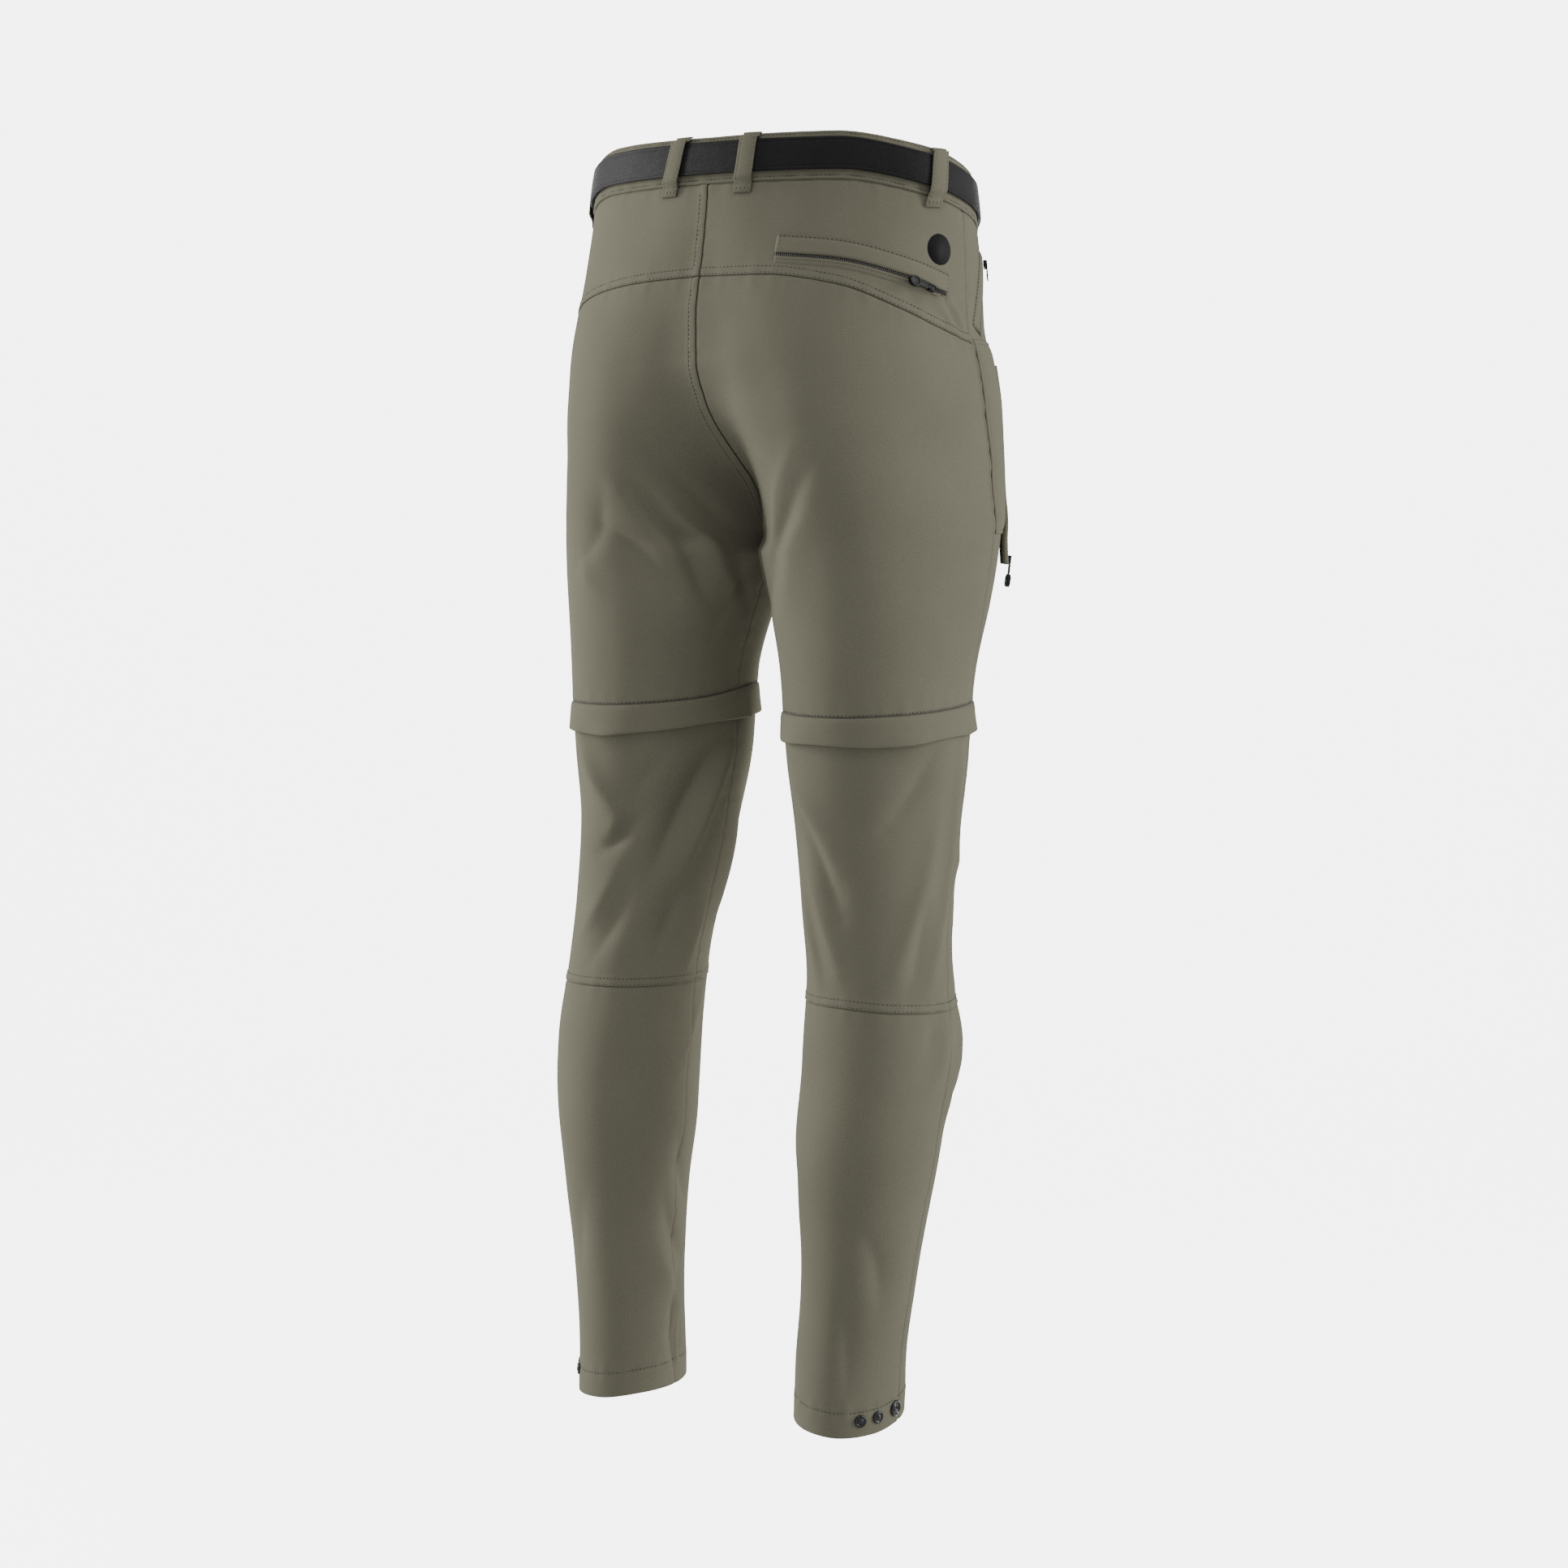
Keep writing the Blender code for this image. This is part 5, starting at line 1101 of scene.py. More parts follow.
place = np.linspace(-0.985, BELT_TIP_PLACE, 421)
low = waist_line("waist_seam", place) + BELT_ABOVE_SEAM
to_tip = (BELT_TIP_PLACE - place) * float(GIRTHS[0])
point_share = 1.0 - np.sqrt(np.clip(1.0 - (1.0 - np.clip(to_tip / 0.014, 0.0, 1.0)) ** 2.2, 0.0, 1.0)) * 1.0
share = np.array([row[0] for row in BELT_PROFILE])[:, None]
press = np.array([row[1] for row in BELT_PROFILE])[:, None]
narrowed = 0.5 + (share - 0.5) * (1.0 - 0.96 * point_share)
height = low + BELT_WIDTH * (1.0 - narrowed)
base = BAND_PROUD + LYING_GAP + BELT_THICKNESS
over = (BELT_THICKNESS + LYING_GAP) * np.clip((place - 0.88) / 0.10, 0.0, 1.0)
points, normals = round_waist(np.tile(place, (len(height), 1)), height, base + over + press)
cut_places = np.stack([place * float(GIRTHS[0]) + 0.0 * height, height], axis=-1)
strap = bend_grid("belt_strap", points, normals, cut_places, leather, BELT_THICKNESS)
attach(strap, "trousers")
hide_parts("belt")

# Painted shade: no belt hole is cut; each is shown by a dark disc sitting on the strap.
hole_shades = bmesh.new()
for hole_place in (1.035, 1.055, 1.075, 1.095):
    where_hole = np.array([hole_place])
    level = waist_line("waist_seam", where_hole) + BELT_ABOVE_SEAM + BELT_WIDTH / 2.0
    at, out = round_waist(where_hole, level, base + BELT_THICKNESS + LYING_GAP - 0.0002)
    turned = Vector(out[0]).to_track_quat("Z", "Y").to_matrix().to_4x4()
    bmesh.ops.create_cone(hole_shades, cap_ends=True, segments=16, radius1=0.0018, radius2=0.0016, depth=0.0008,
                          matrix=Matrix.Translation(Vector(at[0])) @ turned)
hole_shade_mesh = bpy.data.meshes.new("belt_hole_shades")
hole_shades.to_mesh(hole_shade_mesh)
hole_shades.free()
hole_shade_mesh.materials.append(thread_and_hole_shade_material)
belt_hole_shades = bpy.data.objects.new("belt_hole_shades", hole_shade_mesh)
bpy.context.scene.collection.objects.link(belt_hole_shades)
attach(belt_hole_shades, "trousers")

# Buckle and prong: bent steel wire, brushed and nickel plated. The solids keep their shape and
# get a worn metal finish.
steel = bpy.data.materials.new("buckle_steel")
steel.use_nodes = True
steel_nodes, steel_links = steel.node_tree.nodes, steel.node_tree.links
steel_shader = steel_nodes["Principled BSDF"]
steel_shader.inputs["Metallic"].default_value = 1.0
steel_place = steel_nodes.new("ShaderNodeTexCoord")
brushed = steel_nodes.new("ShaderNodeTexNoise")
brushed.inputs["Scale"].default_value = 420.0
brushed.inputs["Detail"].default_value = 5.0
steel_links.new(steel_place.outputs["Object"], brushed.inputs["Vector"])
steel_gloss = steel_nodes.new("ShaderNodeMapRange")
steel_gloss.inputs["To Min"].default_value = 0.22
steel_gloss.inputs["To Max"].default_value = 0.42
steel_links.new(brushed.outputs["Fac"], steel_gloss.inputs["Value"])
steel_links.new(steel_gloss.outputs["Result"], steel_shader.inputs["Roughness"])
steel_shades = steel_nodes.new("ShaderNodeMix")
steel_shades.data_type = "RGBA"
steel_shades.inputs["A"].default_value = (0.30, 0.30, 0.31, 1.0)
steel_shades.inputs["B"].default_value = (0.50, 0.50, 0.51, 1.0)
steel_links.new(brushed.outputs["Fac"], steel_shades.inputs["Factor"])
steel_links.new(steel_shades.outputs["Result"], steel_shader.inputs["Base Color"])
steel_bump = steel_nodes.new("ShaderNodeBump")
steel_bump.inputs["Distance"].default_value = 0.0001
steel_bump.inputs["Strength"].default_value = 0.3
steel_links.new(brushed.outputs["Fac"], steel_bump.inputs["Height"])
steel_links.new(steel_bump.outputs["Normal"], steel_shader.inputs["Normal"])
for node in ("belt_buckle", "belt_prong"):
    for slot in bpy.data.objects[node].material_slots:
        slot.material = steel

# Belt loops: folded strips of the cloth with a row of stitches along each side, caught over the band's
# top edge and sewn down below its seam with a short bar of stitches.
LOOP_WIDTH = 0.0145
LOOP_THICKNESS = 0.0013
LOOP_EASE = 0.0022
LOOP_DROP = 0.0150
LOOP_FOOT = 0.0120
BELT_LOOPS = (
    # name, side, place across at the top, at the bottom
    ("belt_loop_back_left", "left", 0.054, 0.083),
    ("belt_loop_back_right", "right", 0.094, 0.073),
    ("belt_loop_hip_left", "left", 0.440, 0.430),
    ("belt_loop_hip_right", "right", 0.448, 0.421),
    ("belt_loop_front_left", "left", 0.780, 0.780),
    ("belt_loop_front_right", "right", 0.780, 0.780),
)
LOOP_PROFILE = (
    # share of the width, lift
    (0.00, -0.0007), (0.03, -0.0002), (0.08, 0.0), (0.13, -0.0002), (0.17, 0.0), (0.35, 0.00015), (0.50, 0.0002),
    (0.65, 0.00015), (0.83, 0.0), (0.87, -0.0002), (0.92, 0.0), (0.97, -0.0002), (1.00, -0.0007),
)
loop_stitches = bmesh.new()
over_belt = BAND_PROUD + BELT_THICKNESS + 2.0 * LYING_GAP
for name, side, top_across, bottom_across in BELT_LOOPS:
    low = float(line_height(side, "waist_seam", bottom_across)) + BELT_ABOVE_SEAM
    high = float(line_height(side, "waist_top", top_across))
    profile = np.array((
        # height, lift of the inner face
        (high + 0.0012, BAND_PROUD - 0.0014),
        (high + 0.0010, BAND_PROUD + 0.0004),
        (high - 0.0015, BAND_PROUD + LYING_GAP),
        (low + BELT_WIDTH + LOOP_EASE, over_belt),
        (low - LOOP_EASE, over_belt),
        (low + LOOP_FOOT / 2.0 - LOOP_DROP, BAND_PROUD + LYING_GAP),
        (low - LOOP_DROP + 0.0010, LYING_GAP),
        (low - LOOP_DROP - 0.0004, LYING_GAP - 0.0012),
    ))
    runs = np.r_[0.0, np.cumsum(np.hypot(np.diff(profile[:, 0]), np.diff(profile[:, 1])))]
    shares = np.linspace(0.0, 1.0, 49)
    heights = curve_through(runs / runs[-1], profile[:, 0], shares)[:, None]
    lifts = curve_through(runs / runs[-1], profile[:, 1], shares)[:, None] + LOOP_THICKNESS
    width_share = np.array([row[0] for row in LOOP_PROFILE])[None, :]
    fold = np.array([row[1] for row in LOOP_PROFILE])[None, :]
    middle_across = top_across + shares[:, None] * (bottom_across - top_across)
    across = middle_across + (width_share - 0.5) * LOOP_WIDTH / float(GIRTHS[0])
    points, normals = on_cloth(side, across, heights + 0.0 * across, lifts + fold)
    cut_places = np.stack([across * float(GIRTHS[0]), -shares[:, None] * runs[-1] + 0.0 * across], axis=-1)
    piece = bend_grid(f"{name}_cloth", points, normals, cut_places, OLIVE, LOOP_THICKNESS)
    declare_cloth(piece, cut_places, "stretched", ["waistband"], name)
    for column in (3, 9):
        sew(loop_stitches, points[5:-4, column], normals[5:-4, column])
    foot = points[-7:-4].mean(axis=0), normals[-7:-4].mean(axis=0)
    for row in (-4, -5):
        sew(loop_stitches, points[row, 2:-2], normals[row, 2:-2])
finish_sewing("belt_loop_stitches", loop_stitches)

# Black plastics: moulded sliders and pulls with a soft gloss, and lacquered snap caps with a high one.
# Both are scuffed a little.


def moulded(name, low_gloss, high_gloss, relief_strength, gleam):
    """A black moulded or lacquered material, slightly scuffed."""
    material = bpy.data.materials.new(name)
    material.use_nodes = True
    nodes, links = material.node_tree.nodes, material.node_tree.links
    shader = nodes["Principled BSDF"]
    place_at = nodes.new("ShaderNodeTexCoord")
    scuffs = nodes.new("ShaderNodeTexNoise")
    scuffs.inputs["Scale"].default_value = 700.0
    scuffs.inputs["Detail"].default_value = 5.0
    links.new(place_at.outputs["Object"], scuffs.inputs["Vector"])
    shades = nodes.new("ShaderNodeMix")
    shades.data_type = "RGBA"
    shades.inputs["A"].default_value = (0.0030, 0.0030, 0.0034, 1.0)
    shades.inputs["B"].default_value = (0.0100, 0.0100, 0.0105, 1.0)
    links.new(scuffs.outputs["Fac"], shades.inputs["Factor"])
    links.new(shades.outputs["Result"], shader.inputs["Base Color"])
    gloss = nodes.new("ShaderNodeMapRange")
    gloss.inputs["To Min"].default_value = low_gloss
    gloss.inputs["To Max"].default_value = high_gloss
    links.new(scuffs.outputs["Fac"], gloss.inputs["Value"])
    links.new(gloss.outputs["Result"], shader.inputs["Roughness"])
    bump = nodes.new("ShaderNodeBump")
    bump.inputs["Distance"].default_value = 0.00005
    bump.inputs["Strength"].default_value = relief_strength
    links.new(scuffs.outputs["Fac"], bump.inputs["Height"])
    links.new(bump.outputs["Normal"], shader.inputs["Normal"])
    shader.inputs["Specular IOR Level"].default_value = gleam
    return material


PULL_PLASTIC = moulded("pull_plastic", 0.44, 0.62, 0.5, 0.14)
SNAP_LACQUER = moulded("snap_lacquer", 0.20, 0.36, 0.2, 0.30)

# Zipped openings: a welt lapped over a coil zip, and a narrow lip below it, both sewn to the panel.
# The back pocket's welt is framed with stitches and gapes at the slider's end.
WELT_PROFILE = (
    # share from the opening to the far edge, lift
    (0.00, 0.0010), (0.02, 0.0024), (0.06, 0.0030), (0.14, 0.0031), (0.30, 0.0028), (0.50, 0.0025), (0.70, 0.0021),
    (0.84, 0.0016), (0.90, 0.0006), (0.94, 0.0011), (0.98, 0.0006), (1.00, -0.0005),
)
LIP_PROFILE = (
    # distance from the opening, lift
    (0.0020, 0.0006), (0.0022, 0.0013), (0.0029, 0.0017), (0.0038, 0.0016), (0.0046, 0.0009), (0.0054, 0.0012),
    (0.0068, 0.0007), (0.0080, 0.0000), (0.0088, -0.0006),
)
TAPE_PROFILE = ((-0.0030, 0.0005), (-0.0010, 0.0008), (0.0010, 0.0008), (0.0030, 0.0007), (0.0060, 0.0002))


def beside_route(route, shares, beside):
    """Places across and heights beside a route of stops, at shares along it and distances beside it."""
    route = np.array(route)
    knots = np.linspace(0.0, 1.0, len(route))
    across = curve_through(knots, route[:, 0], shares)
    heights = curve_through(knots, route[:, 1], shares)
    girth = girth_at(heights)
    run = np.stack([np.gradient(across) * girth, np.gradient(heights)], axis=1)
    run /= np.linalg.norm(run, axis=1, keepdims=True)
    beside = np.atleast_2d(beside)
    return across[:, None] - beside * run[:, 1:2] / girth[:, None], heights[:, None] + beside * run[:, 0:1]


def edge_strip(name, side, route, beside, lift, count, material, thickness, slot_name, rests_on, *nodes):
    """A strip laid along a route on the cloth."""
    shares = np.linspace(0.0, 1.0, count)
    across, height = beside_route(route, shares, beside)
    points, normals = on_cloth(side, across, height, lift)
    step = np.diff(points, axis=0)[:, points.shape[1] // 2]
    along = np.r_[0.0, np.cumsum(np.linalg.norm(step, axis=1))][:, None]
    ribs = np.linalg.norm(np.diff(points, axis=1), axis=2).mean(axis=0)
    beside = np.r_[0.0, np.cumsum(ribs)][None, :]
    cut_places = np.stack([beside + 0.0 * along, along + 0.0 * beside], axis=-1)
    piece = bend_grid(name, points, normals, cut_places, material, thickness)
    declare_cloth(piece, cut_places, "stretched", rests_on, *nodes)
    return points, normals


def zipped_opening(name, suffix, side, route, welt_height, towards, gape, flatness, stitches):
    """The welt, lip, tape, coil and stitches of one zipped opening. towards is the welt's side of the route."""
    count = 90
    shares = np.linspace(0.0, 1.0, count)[:, None]
    held = np.clip(np.minimum(shares, 1.0 - shares) / 0.018, 0.0, 1.0)
    held = np.sqrt(np.clip(held * (2.0 - held), 0.0, 1.0))
    open_end = gape * np.exp(-((shares - 0.90) / 0.07) ** 2)
    welt_share = np.array([row[0] for row in WELT_PROFILE])[None, :]
    welt_lift = np.array([row[1] for row in WELT_PROFILE])[None, :]
    beside = towards * (welt_share * welt_height - 0.4 * open_end * (1.0 - welt_share) ** 2)
    lift = flatness * welt_lift * held - 0.0004 * (1.0 - held) + 0.5 * open_end * (1.0 - welt_share) ** 2
    rests_on = ["back_yoke_right" if name == "back_pocket" else f"front_thigh_{side}"]
    points, normals = edge_strip(f"{name}_welt{suffix}_cloth", side, route, beside, lift, count, OLIVE, 0.0009, "cloth",
                                 rests_on, f"{name}_welt{suffix}")
    for column in (-3,):
        sew(stitches, points[1:-1, column], normals[1:-1, column])
    for row in (2, -3):
        sew(stitches, points[row, 2:-2], normals[row, 2:-2])
    lip_beside = np.array([row[0] for row in LIP_PROFILE])[None, :]
    lip_lift = np.array([row[1] for row in LIP_PROFILE])[None, :]
    near = (lip_beside < 0.0045)
    beside = -towards * (lip_beside + open_end * near * (1.0 - (lip_beside - 0.0020) / 0.0031))
    points, normals = edge_strip(f"{name}_lip{suffix}_cloth", side, route, beside, lip_lift * held - 0.0004 * (1.0 - held),
                                 count, OLIVE, 0.0008, "cloth", rests_on)
    sew(stitches, points[1:-1, 4], normals[1:-1, 4])
    beside = -towards * np.array([row[0] for row in TAPE_PROFILE])[None, :]
    lift = np.array([row[1] for row in TAPE_PROFILE])[None, :] + 0.0 * shares
    edge_strip(f"{name}_tape{suffix}", side, route, beside + 0.0 * shares, lift, count, TAPE, 0.0006, "zip_tape",
               rests_on, f"{name}_zip{suffix}")
    across, height = beside_route(route, np.linspace(0.01, 0.99, 90), np.array([[-towards * 0.0009]]))
    zip_coil(f"{name}_coil{suffix}", *on_cloth(side, across[:, 0], height[:, 0], 0.0011))


BACK_POCKET_EDGE = ((0.140, -0.0510), (0.254, -0.0560), (0.352, -0.0670), (0.446, -0.0800))
HAND_POCKET_EDGE = ((0.605, -0.0470), (0.535, -0.1080))
pocket_stitches = bmesh.new()
zipped_opening("back_pocket", "", "right", BACK_POCKET_EDGE, 0.0145, 1.0, 0.0040, 1.0, pocket_stitches)
for side in ("left", "right"):
    zipped_opening("hand_pocket", f"_{side}", side, HAND_POCKET_EDGE, 0.0105, -1.0, 0.0004, 0.6, pocket_stitches)

# Thigh pocket on the right front: a patch sewn down on all sides over a small bulge, and a zip that
# runs down it and ends below in a free tab of tape.
THIGH_POCKET_TOP = -0.1135
THIGH_POCKET_BOTTOM = -0.2650
THIGH_POCKET_START = 0.15 / 12.0
THIGH_POCKET_END = 5.0 / 12.0
THIGH_POCKET_BULGE = 0.0026
patch_stops = np.r_[0.0, 0.0004, 0.0010, 0.0020, 0.0030, 0.0036, 0.0042, 0.0052, 0.0070]
share, offset = stops(0.072, patch_stops, patch_stops, PANEL_STEP)
row_share, row_offset = stops(THIGH_POCKET_TOP - THIGH_POCKET_BOTTOM, patch_stops, patch_stops, PANEL_STEP)
height = THIGH_POCKET_TOP + row_share * (THIGH_POCKET_BOTTOM - THIGH_POCKET_TOP) - row_offset
height = height[:, None] + 0.0 * share
seam = side_seam(height)
start = seam + THIGH_POCKET_START * (1.0 - seam)
end = seam + THIGH_POCKET_END * (1.0 - seam)
across = start + share * (end - start) + offset / girth_at(height)
width = (end - start) * girth_at(height)
from_start = (across - start) * girth_at(height)
gaps = (from_start, width - from_start, THIGH_POCKET_TOP - height, height - THIGH_POCKET_BOTTOM)
edge_gap = np.minimum.reduce(gaps)
bulge = np.sin(math.pi * np.clip(from_start / width, 0.0, 1.0))
bulge = bulge * np.sin(math.pi * np.clip(gaps[2] / (THIGH_POCKET_TOP - THIGH_POCKET_BOTTOM), 0.0, 1.0))
lift = 0.0012 * step_between(-0.0004, 0.0012, edge_gap) - 0.0004 * np.exp(-((edge_gap - 0.0034) / 0.0007) ** 2)
lift = lift + THIGH_POCKET_BULGE * bulge ** 0.7 + 0.0007 * step_between(0.003, 0.010, edge_gap)
points, normals = on_cloth("right", across, height, lift)
cut_places = np.stack([across * girth_at(height), height], axis=-1)
patch = bend_grid("thigh_pocket_cloth", points, normals, cut_places, OLIVE, 0.0010)
declare_cloth(patch, cut_places, "stretched", ["front_thigh_right"], "thigh_pocket")
inset = 5
ring = [(inset, slice(inset, -inset)), (slice(inset, -inset), -inset - 1), (-inset - 1, slice(inset, -inset))]
for rows, places_across in ring:
    sew(pocket_stitches, points[rows, places_across], normals[rows, places_across])
finish_sewing("pocket_stitches", pocket_stitches)

THIGH_ZIP_ROUTE = ((0.615, -0.1320), (0.613, -0.2880))
THIGH_ZIP_LIFT = 0.0030
THIGH_ZIP_RISE = 0.0056
shares = np.linspace(0.0, 1.0, 80)[:, None]
free_end = THIGH_ZIP_RISE * np.clip((shares - 0.66) / 0.34, 0.0, 1.0) ** 2
sides = np.linspace(-0.0036, 0.0036, 9)[None, :]
crown = -0.0010 * (np.abs(sides) / 0.0036) ** 6
edge_strip("thigh_zip_tape", "right", THIGH_ZIP_ROUTE, sides + 0.0 * shares, THIGH_ZIP_LIFT + free_end + crown, 80, TAPE,
           0.0007, "zip_tape", ["thigh_pocket"], "thigh_zip")
across, height = beside_route(THIGH_ZIP_ROUTE, np.linspace(0.01, 0.97, 90), np.array([[0.0]]))
zip_coil("thigh_zip_coil", *on_cloth("right", across[:, 0], height[:, 0],
                                     THIGH_ZIP_LIFT - 0.0007 + np.interp(np.linspace(0.01, 0.97, 90), shares[:, 0], free_end[:, 0])))
for name, near, far in (("thigh_zip_edge_back", -0.0060, -0.0002), ("thigh_zip_edge_front", 0.0004, 0.0062)):
    across_strip = np.linspace(near, far, 7)[None, :]
    fold = 0.0024 + 0.0026 * np.clip((shares - 0.72) / 0.10, 0.0, 1.0)
    roll = 0.0017 - fold * (np.abs(across_strip - (near + far) / 2.0) / 0.0029) ** 4
    edge_strip(name, "right", THIGH_ZIP_ROUTE, across_strip + 0.0 * shares,
               THIGH_ZIP_LIFT + free_end + roll, 80, OLIVE, 0.0008, "cloth", ["thigh_pocket"])

# Fly: a strip of the cloth on the left front over the zip, with two curved rows of stitches.
FLY_WIDTH = 0.0340
FLY_BOTTOM = -0.1850
down_share = np.linspace(0.0, 1.0, 60)[:, None]
across_share = np.array([0.0, 0.02, 0.05, 0.09, 0.13, 0.17, 0.21, 0.28, 0.40, 0.55, 0.70, 0.85, 0.93, 0.97, 0.99, 1.0])[None, :]
fly_top = line_height("left", "waist_seam", 1.0 - FLY_WIDTH / float(GIRTHS[0]) * (1.0 - across_share)) - 0.0004
height = fly_top + down_share * (FLY_BOTTOM - fly_top)
narrowing = 1.0 - 0.6 * down_share ** 3
across = 1.0 - (0.0002 + FLY_WIDTH * narrowing * (1.0 - across_share)) / girth_at(height)
sewn_down = step_between(0.0, 0.05, across_share) * step_between(0.0, 0.02, 1.0 - down_share)
lift = -0.0004 + 0.0015 * sewn_down - 0.00035 * np.exp(-((across_share - 0.09) / 0.02) ** 2)
lift = lift - 0.00035 * np.exp(-((across_share - 0.21) / 0.02) ** 2) - 0.0006 * step_between(0.98, 1.0, across_share)
points, normals = on_cloth("left", across, height, lift)
cut_places = np.stack([across * girth_at(height), height], axis=-1)
fly = bend_grid("fly_cloth", points, normals, cut_places, OLIVE, 0.0010)
declare_cloth(fly, cut_places, "hung", ["front_thigh_left"], "fly")
fly_stitches = bmesh.new()
for column in (3, 6):
    sew(fly_stitches, points[1:-2, column], normals[1:-2, column])
finish_sewing("fly_stitches", fly_stitches)

# Badge: a plain round patch of black moulded rubber, fused to the yoke and bent with it.
BADGE_PLACE = ("right", 0.433, -0.0470)
BADGE_RADIUS = 0.0120
badge_side, badge_across, badge_height = BADGE_PLACE
disc = bmesh.new()
bmesh.ops.create_circle(disc, cap_ends=True, segments=72, radius=BADGE_RADIUS)
rings = ((0.0, 0.0003, 0.0006), (0.0003, 0.0008, 0.0005), (0.0, 0.0009, 0.0))
for inset_by, _, _ in ((0.00025, 0, 0), (0.00035, 0, 0), (0.0030, 0, 0), (0.0040, 0, 0)):
    top_face = max(disc.faces, key=lambda face: len(face.verts))
    bmesh.ops.inset_region(disc, faces=[top_face], thickness=inset_by, use_even_offset=True)
for vertex in disc.verts:
    reach = vertex.co.xy.length
    raised = 0.0001 + 0.0008 * float(step_between(0.0, 0.0006, BADGE_RADIUS - reach))
    place_across = badge_across + vertex.co.x / float(girth_at(badge_height))
    vertex.co = on_cloth(badge_side, place_across, badge_height + vertex.co.y, raised)[0]
bmesh.ops.triangulate(disc, faces=[face for face in disc.faces if len(face.verts) > 4])
out = Vector(on_cloth(badge_side, badge_across, badge_height)[1])
if sum((face.normal.dot(out) for face in disc.faces), 0.0) < 0.0:
    bmesh.ops.reverse_faces(disc, faces=disc.faces)
badge_mesh = bpy.data.meshes.new("badge_disc")
disc.to_mesh(badge_mesh)
disc.free()
badge_mesh.materials.append(moulded("badge_rubber", 0.62, 0.78, 0.8, 0.10))
badge_mesh.shade_smooth()
badge_mesh.set_sharp_from_angle(angle=math.radians(25.0))
badge_disc = bpy.data.objects.new("badge_disc", badge_mesh)
bpy.context.scene.collection.objects.link(badge_disc)
badge_wall = badge_disc.modifiers.new("wall", "SOLIDIFY")
badge_wall.thickness = 0.0008
badge_wall.offset = -1.0
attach(badge_disc, "trousers")
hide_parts("badge")

# Hem snaps: two caps and one wide socket ring on each outer hem, pressed through the cloth.
# Turned from their profiles in black lacquered metal.
SNAPS = ((0.373, -0.9560, 0.0050), (0.429, -0.9550, 0.0050), (0.500, -0.9520, 0.0065))
CAP_PROFILE = ((1.00, 0.0000), (1.00, 0.0010), (0.93, 0.0015), (0.80, 0.0018), (0.68, 0.0016), (0.60, 0.0011),
               (0.52, 0.0011), (0.46, 0.0017), (0.34, 0.0022), (0.16, 0.0023), (0.00, 0.0023))
SOCKET_PROFILE = ((1.00, 0.0000), (1.00, 0.0011), (0.94, 0.0018), (0.82, 0.0022), (0.72, 0.0018), (0.64, 0.0009),
                  (0.52, 0.0008), (0.46, 0.0014), (0.36, 0.0017), (0.27, 0.0013), (0.22, 0.0006), (0.00, 0.0006))
for side in ("left", "right"):
    for number, (snap_across, snap_height, radius) in enumerate(SNAPS, 1):
        snap = bmesh.new()
        profile = SOCKET_PROFILE if number == 3 else CAP_PROFILE
        run = [snap.verts.new((reach * radius, 0.0, raised)) for reach, raised in profile]
        lines = [snap.edges.new(pair) for pair in zip(run, run[1:])]
        bmesh.ops.spin(snap, geom=run + lines, axis=(0, 0, 1), cent=(0, 0, 0), dvec=(0, 0, 0),
                       angle=2.0 * math.pi, steps=40, use_merge=True)
        bmesh.ops.remove_doubles(snap, verts=snap.verts, dist=0.000001)
        bmesh.ops.recalc_face_normals(snap, faces=snap.faces)
        at, out = on_cloth(side, snap_across, snap_height, 0.0002)
        turned = Vector(out).to_track_quat("Z", "Y").to_matrix().to_4x4()
        bmesh.ops.transform(snap, matrix=Matrix.Translation(Vector(at)) @ turned, verts=snap.verts)
        snap_mesh = bpy.data.meshes.new(f"hem_snap_{side}_{number}_cap")
        snap.to_mesh(snap_mesh)
        snap.free()
        snap_mesh.materials.append(SNAP_LACQUER)
        snap_mesh.shade_smooth()
        snap_piece = bpy.data.objects.new(snap_mesh.name, snap_mesh)
        bpy.context.scene.collection.objects.link(snap_piece)
        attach(snap_piece, "trousers")
        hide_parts(f"hem_snap_{side}_{number}")

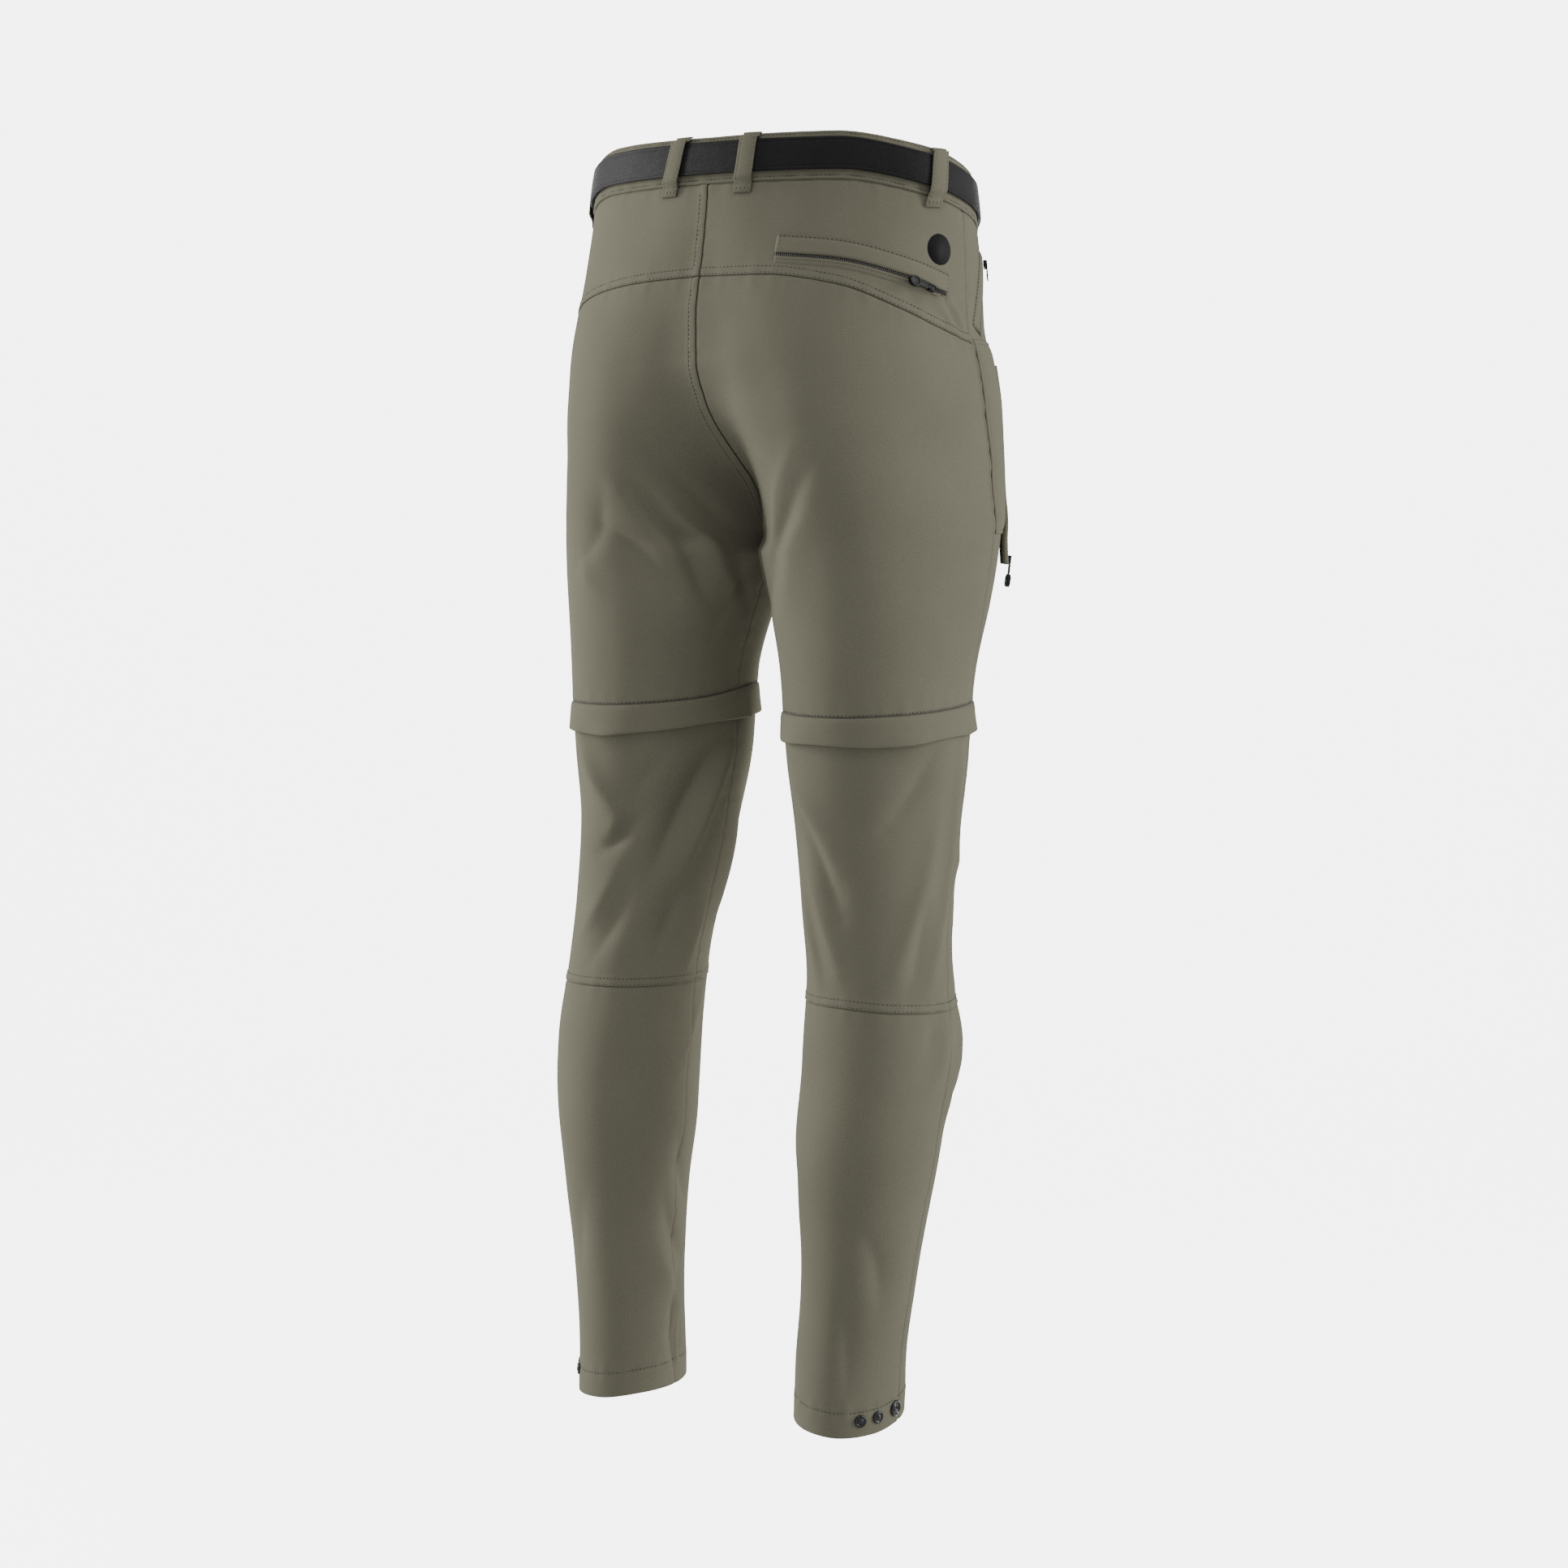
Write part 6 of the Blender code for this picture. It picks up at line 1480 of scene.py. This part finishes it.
# Zip sliders and pull tabs: black moulded plastic with rounded edges. Each tab has a sunk panel on
# both faces and swings on its slider. The back and thigh pockets' tabs end in a round grip.
GRIP_LENGTH = 0.0104
GRIP_WIDTH = 0.0080
GRIP_THICKNESS = 0.0036
GRIP_SET_BACK = 0.0014
for opening in ("back_pocket", "hand_pocket_left", "hand_pocket_right", "thigh_pocket"):
    for part, body in (("slider", "trousers"), ("pull", f"{opening}_pull")):
        node = bpy.data.objects[f"{opening}_{part}"]
        shape = bmesh.new()
        shape.from_mesh(node.data)
        bmesh.ops.remove_doubles(shape, verts=shape.verts, dist=0.00001)
        bmesh.ops.dissolve_limit(shape, angle_limit=0.02, verts=shape.verts, edges=shape.edges)
        bmesh.ops.recalc_face_normals(shape, faces=shape.faces)
        if part == "pull":
            faces = sorted(shape.faces, key=lambda face: face.calc_area())[-2:]
            for face in faces:
                bmesh.ops.inset_region(shape, faces=[face], thickness=0.0007, use_even_offset=True)
                bmesh.ops.inset_region(shape, faces=[face], thickness=0.0002, depth=-0.00025, use_even_offset=True)
        mesh = bpy.data.meshes.new(f"{opening}_{part}_moulding")
        shape.to_mesh(mesh)
        shape.free()
        mesh.materials.append(PULL_PLASTIC)
        mesh.shade_smooth()
        if part == "pull" and not opening.startswith("hand"):
            corners = np.array([tuple(vertex.co) for vertex in node.data.vertices])
            middle = corners.mean(axis=0)
            along, _, out = np.linalg.svd(corners - middle, full_matrices=False)[2]
            near_slider = np.array([tuple(vertex.co) for vertex in slider_mesh.vertices]).mean(axis=0)
            along = along * np.sign((middle - near_slider) @ along)
            tip = middle + along * (np.abs((corners - middle) @ along).max() - GRIP_SET_BACK)
            axes = Matrix((Vector(along), Vector(np.cross(out, along)), Vector(out))).transposed().to_4x4()
            size = Matrix.Diagonal((GRIP_LENGTH / 2.0, GRIP_WIDTH / 2.0, GRIP_THICKNESS, 1.0))
            knob = bmesh.new()
            bmesh.ops.create_cone(knob, cap_ends=True, segments=36, radius1=1.0, radius2=1.0, depth=1.0,
                                  matrix=Matrix.Translation(Vector(tip)) @ axes @ size)
            for cap in sorted(knob.faces, key=lambda face: face.calc_area())[-2:]:
                bmesh.ops.inset_region(knob, faces=[cap], thickness=0.0014, use_even_offset=True)
                bmesh.ops.inset_region(knob, faces=[cap], thickness=0.0003, depth=-0.0007, use_even_offset=True)
            knob_mesh = bpy.data.meshes.new(f"{opening}_pull_knob")
            knob.to_mesh(knob_mesh)
            knob.free()
            knob_mesh.materials.append(PULL_PLASTIC)
            knob_mesh.shade_smooth()
            knob_piece = bpy.data.objects.new(knob_mesh.name, knob_mesh)
            bpy.context.scene.collection.objects.link(knob_piece)
            knob_edge = knob_piece.modifiers.new("rounded", "BEVEL")
            knob_edge.width = 0.0007
            knob_edge.segments = 3
            knob_edge.limit_method = "ANGLE"
            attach(knob_piece, body)
        if part == "slider":
            slider_mesh = node.data
        piece = bpy.data.objects.new(mesh.name, mesh)
        piece.matrix_world = node.matrix_world
        bpy.context.scene.collection.objects.link(piece)
        rounded = piece.modifiers.new("rounded", "BEVEL")
        rounded.width = 0.00022
        rounded.segments = 2
        rounded.limit_method = "ANGLE"
        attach(piece, body)
        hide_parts(node.name)

low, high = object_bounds()
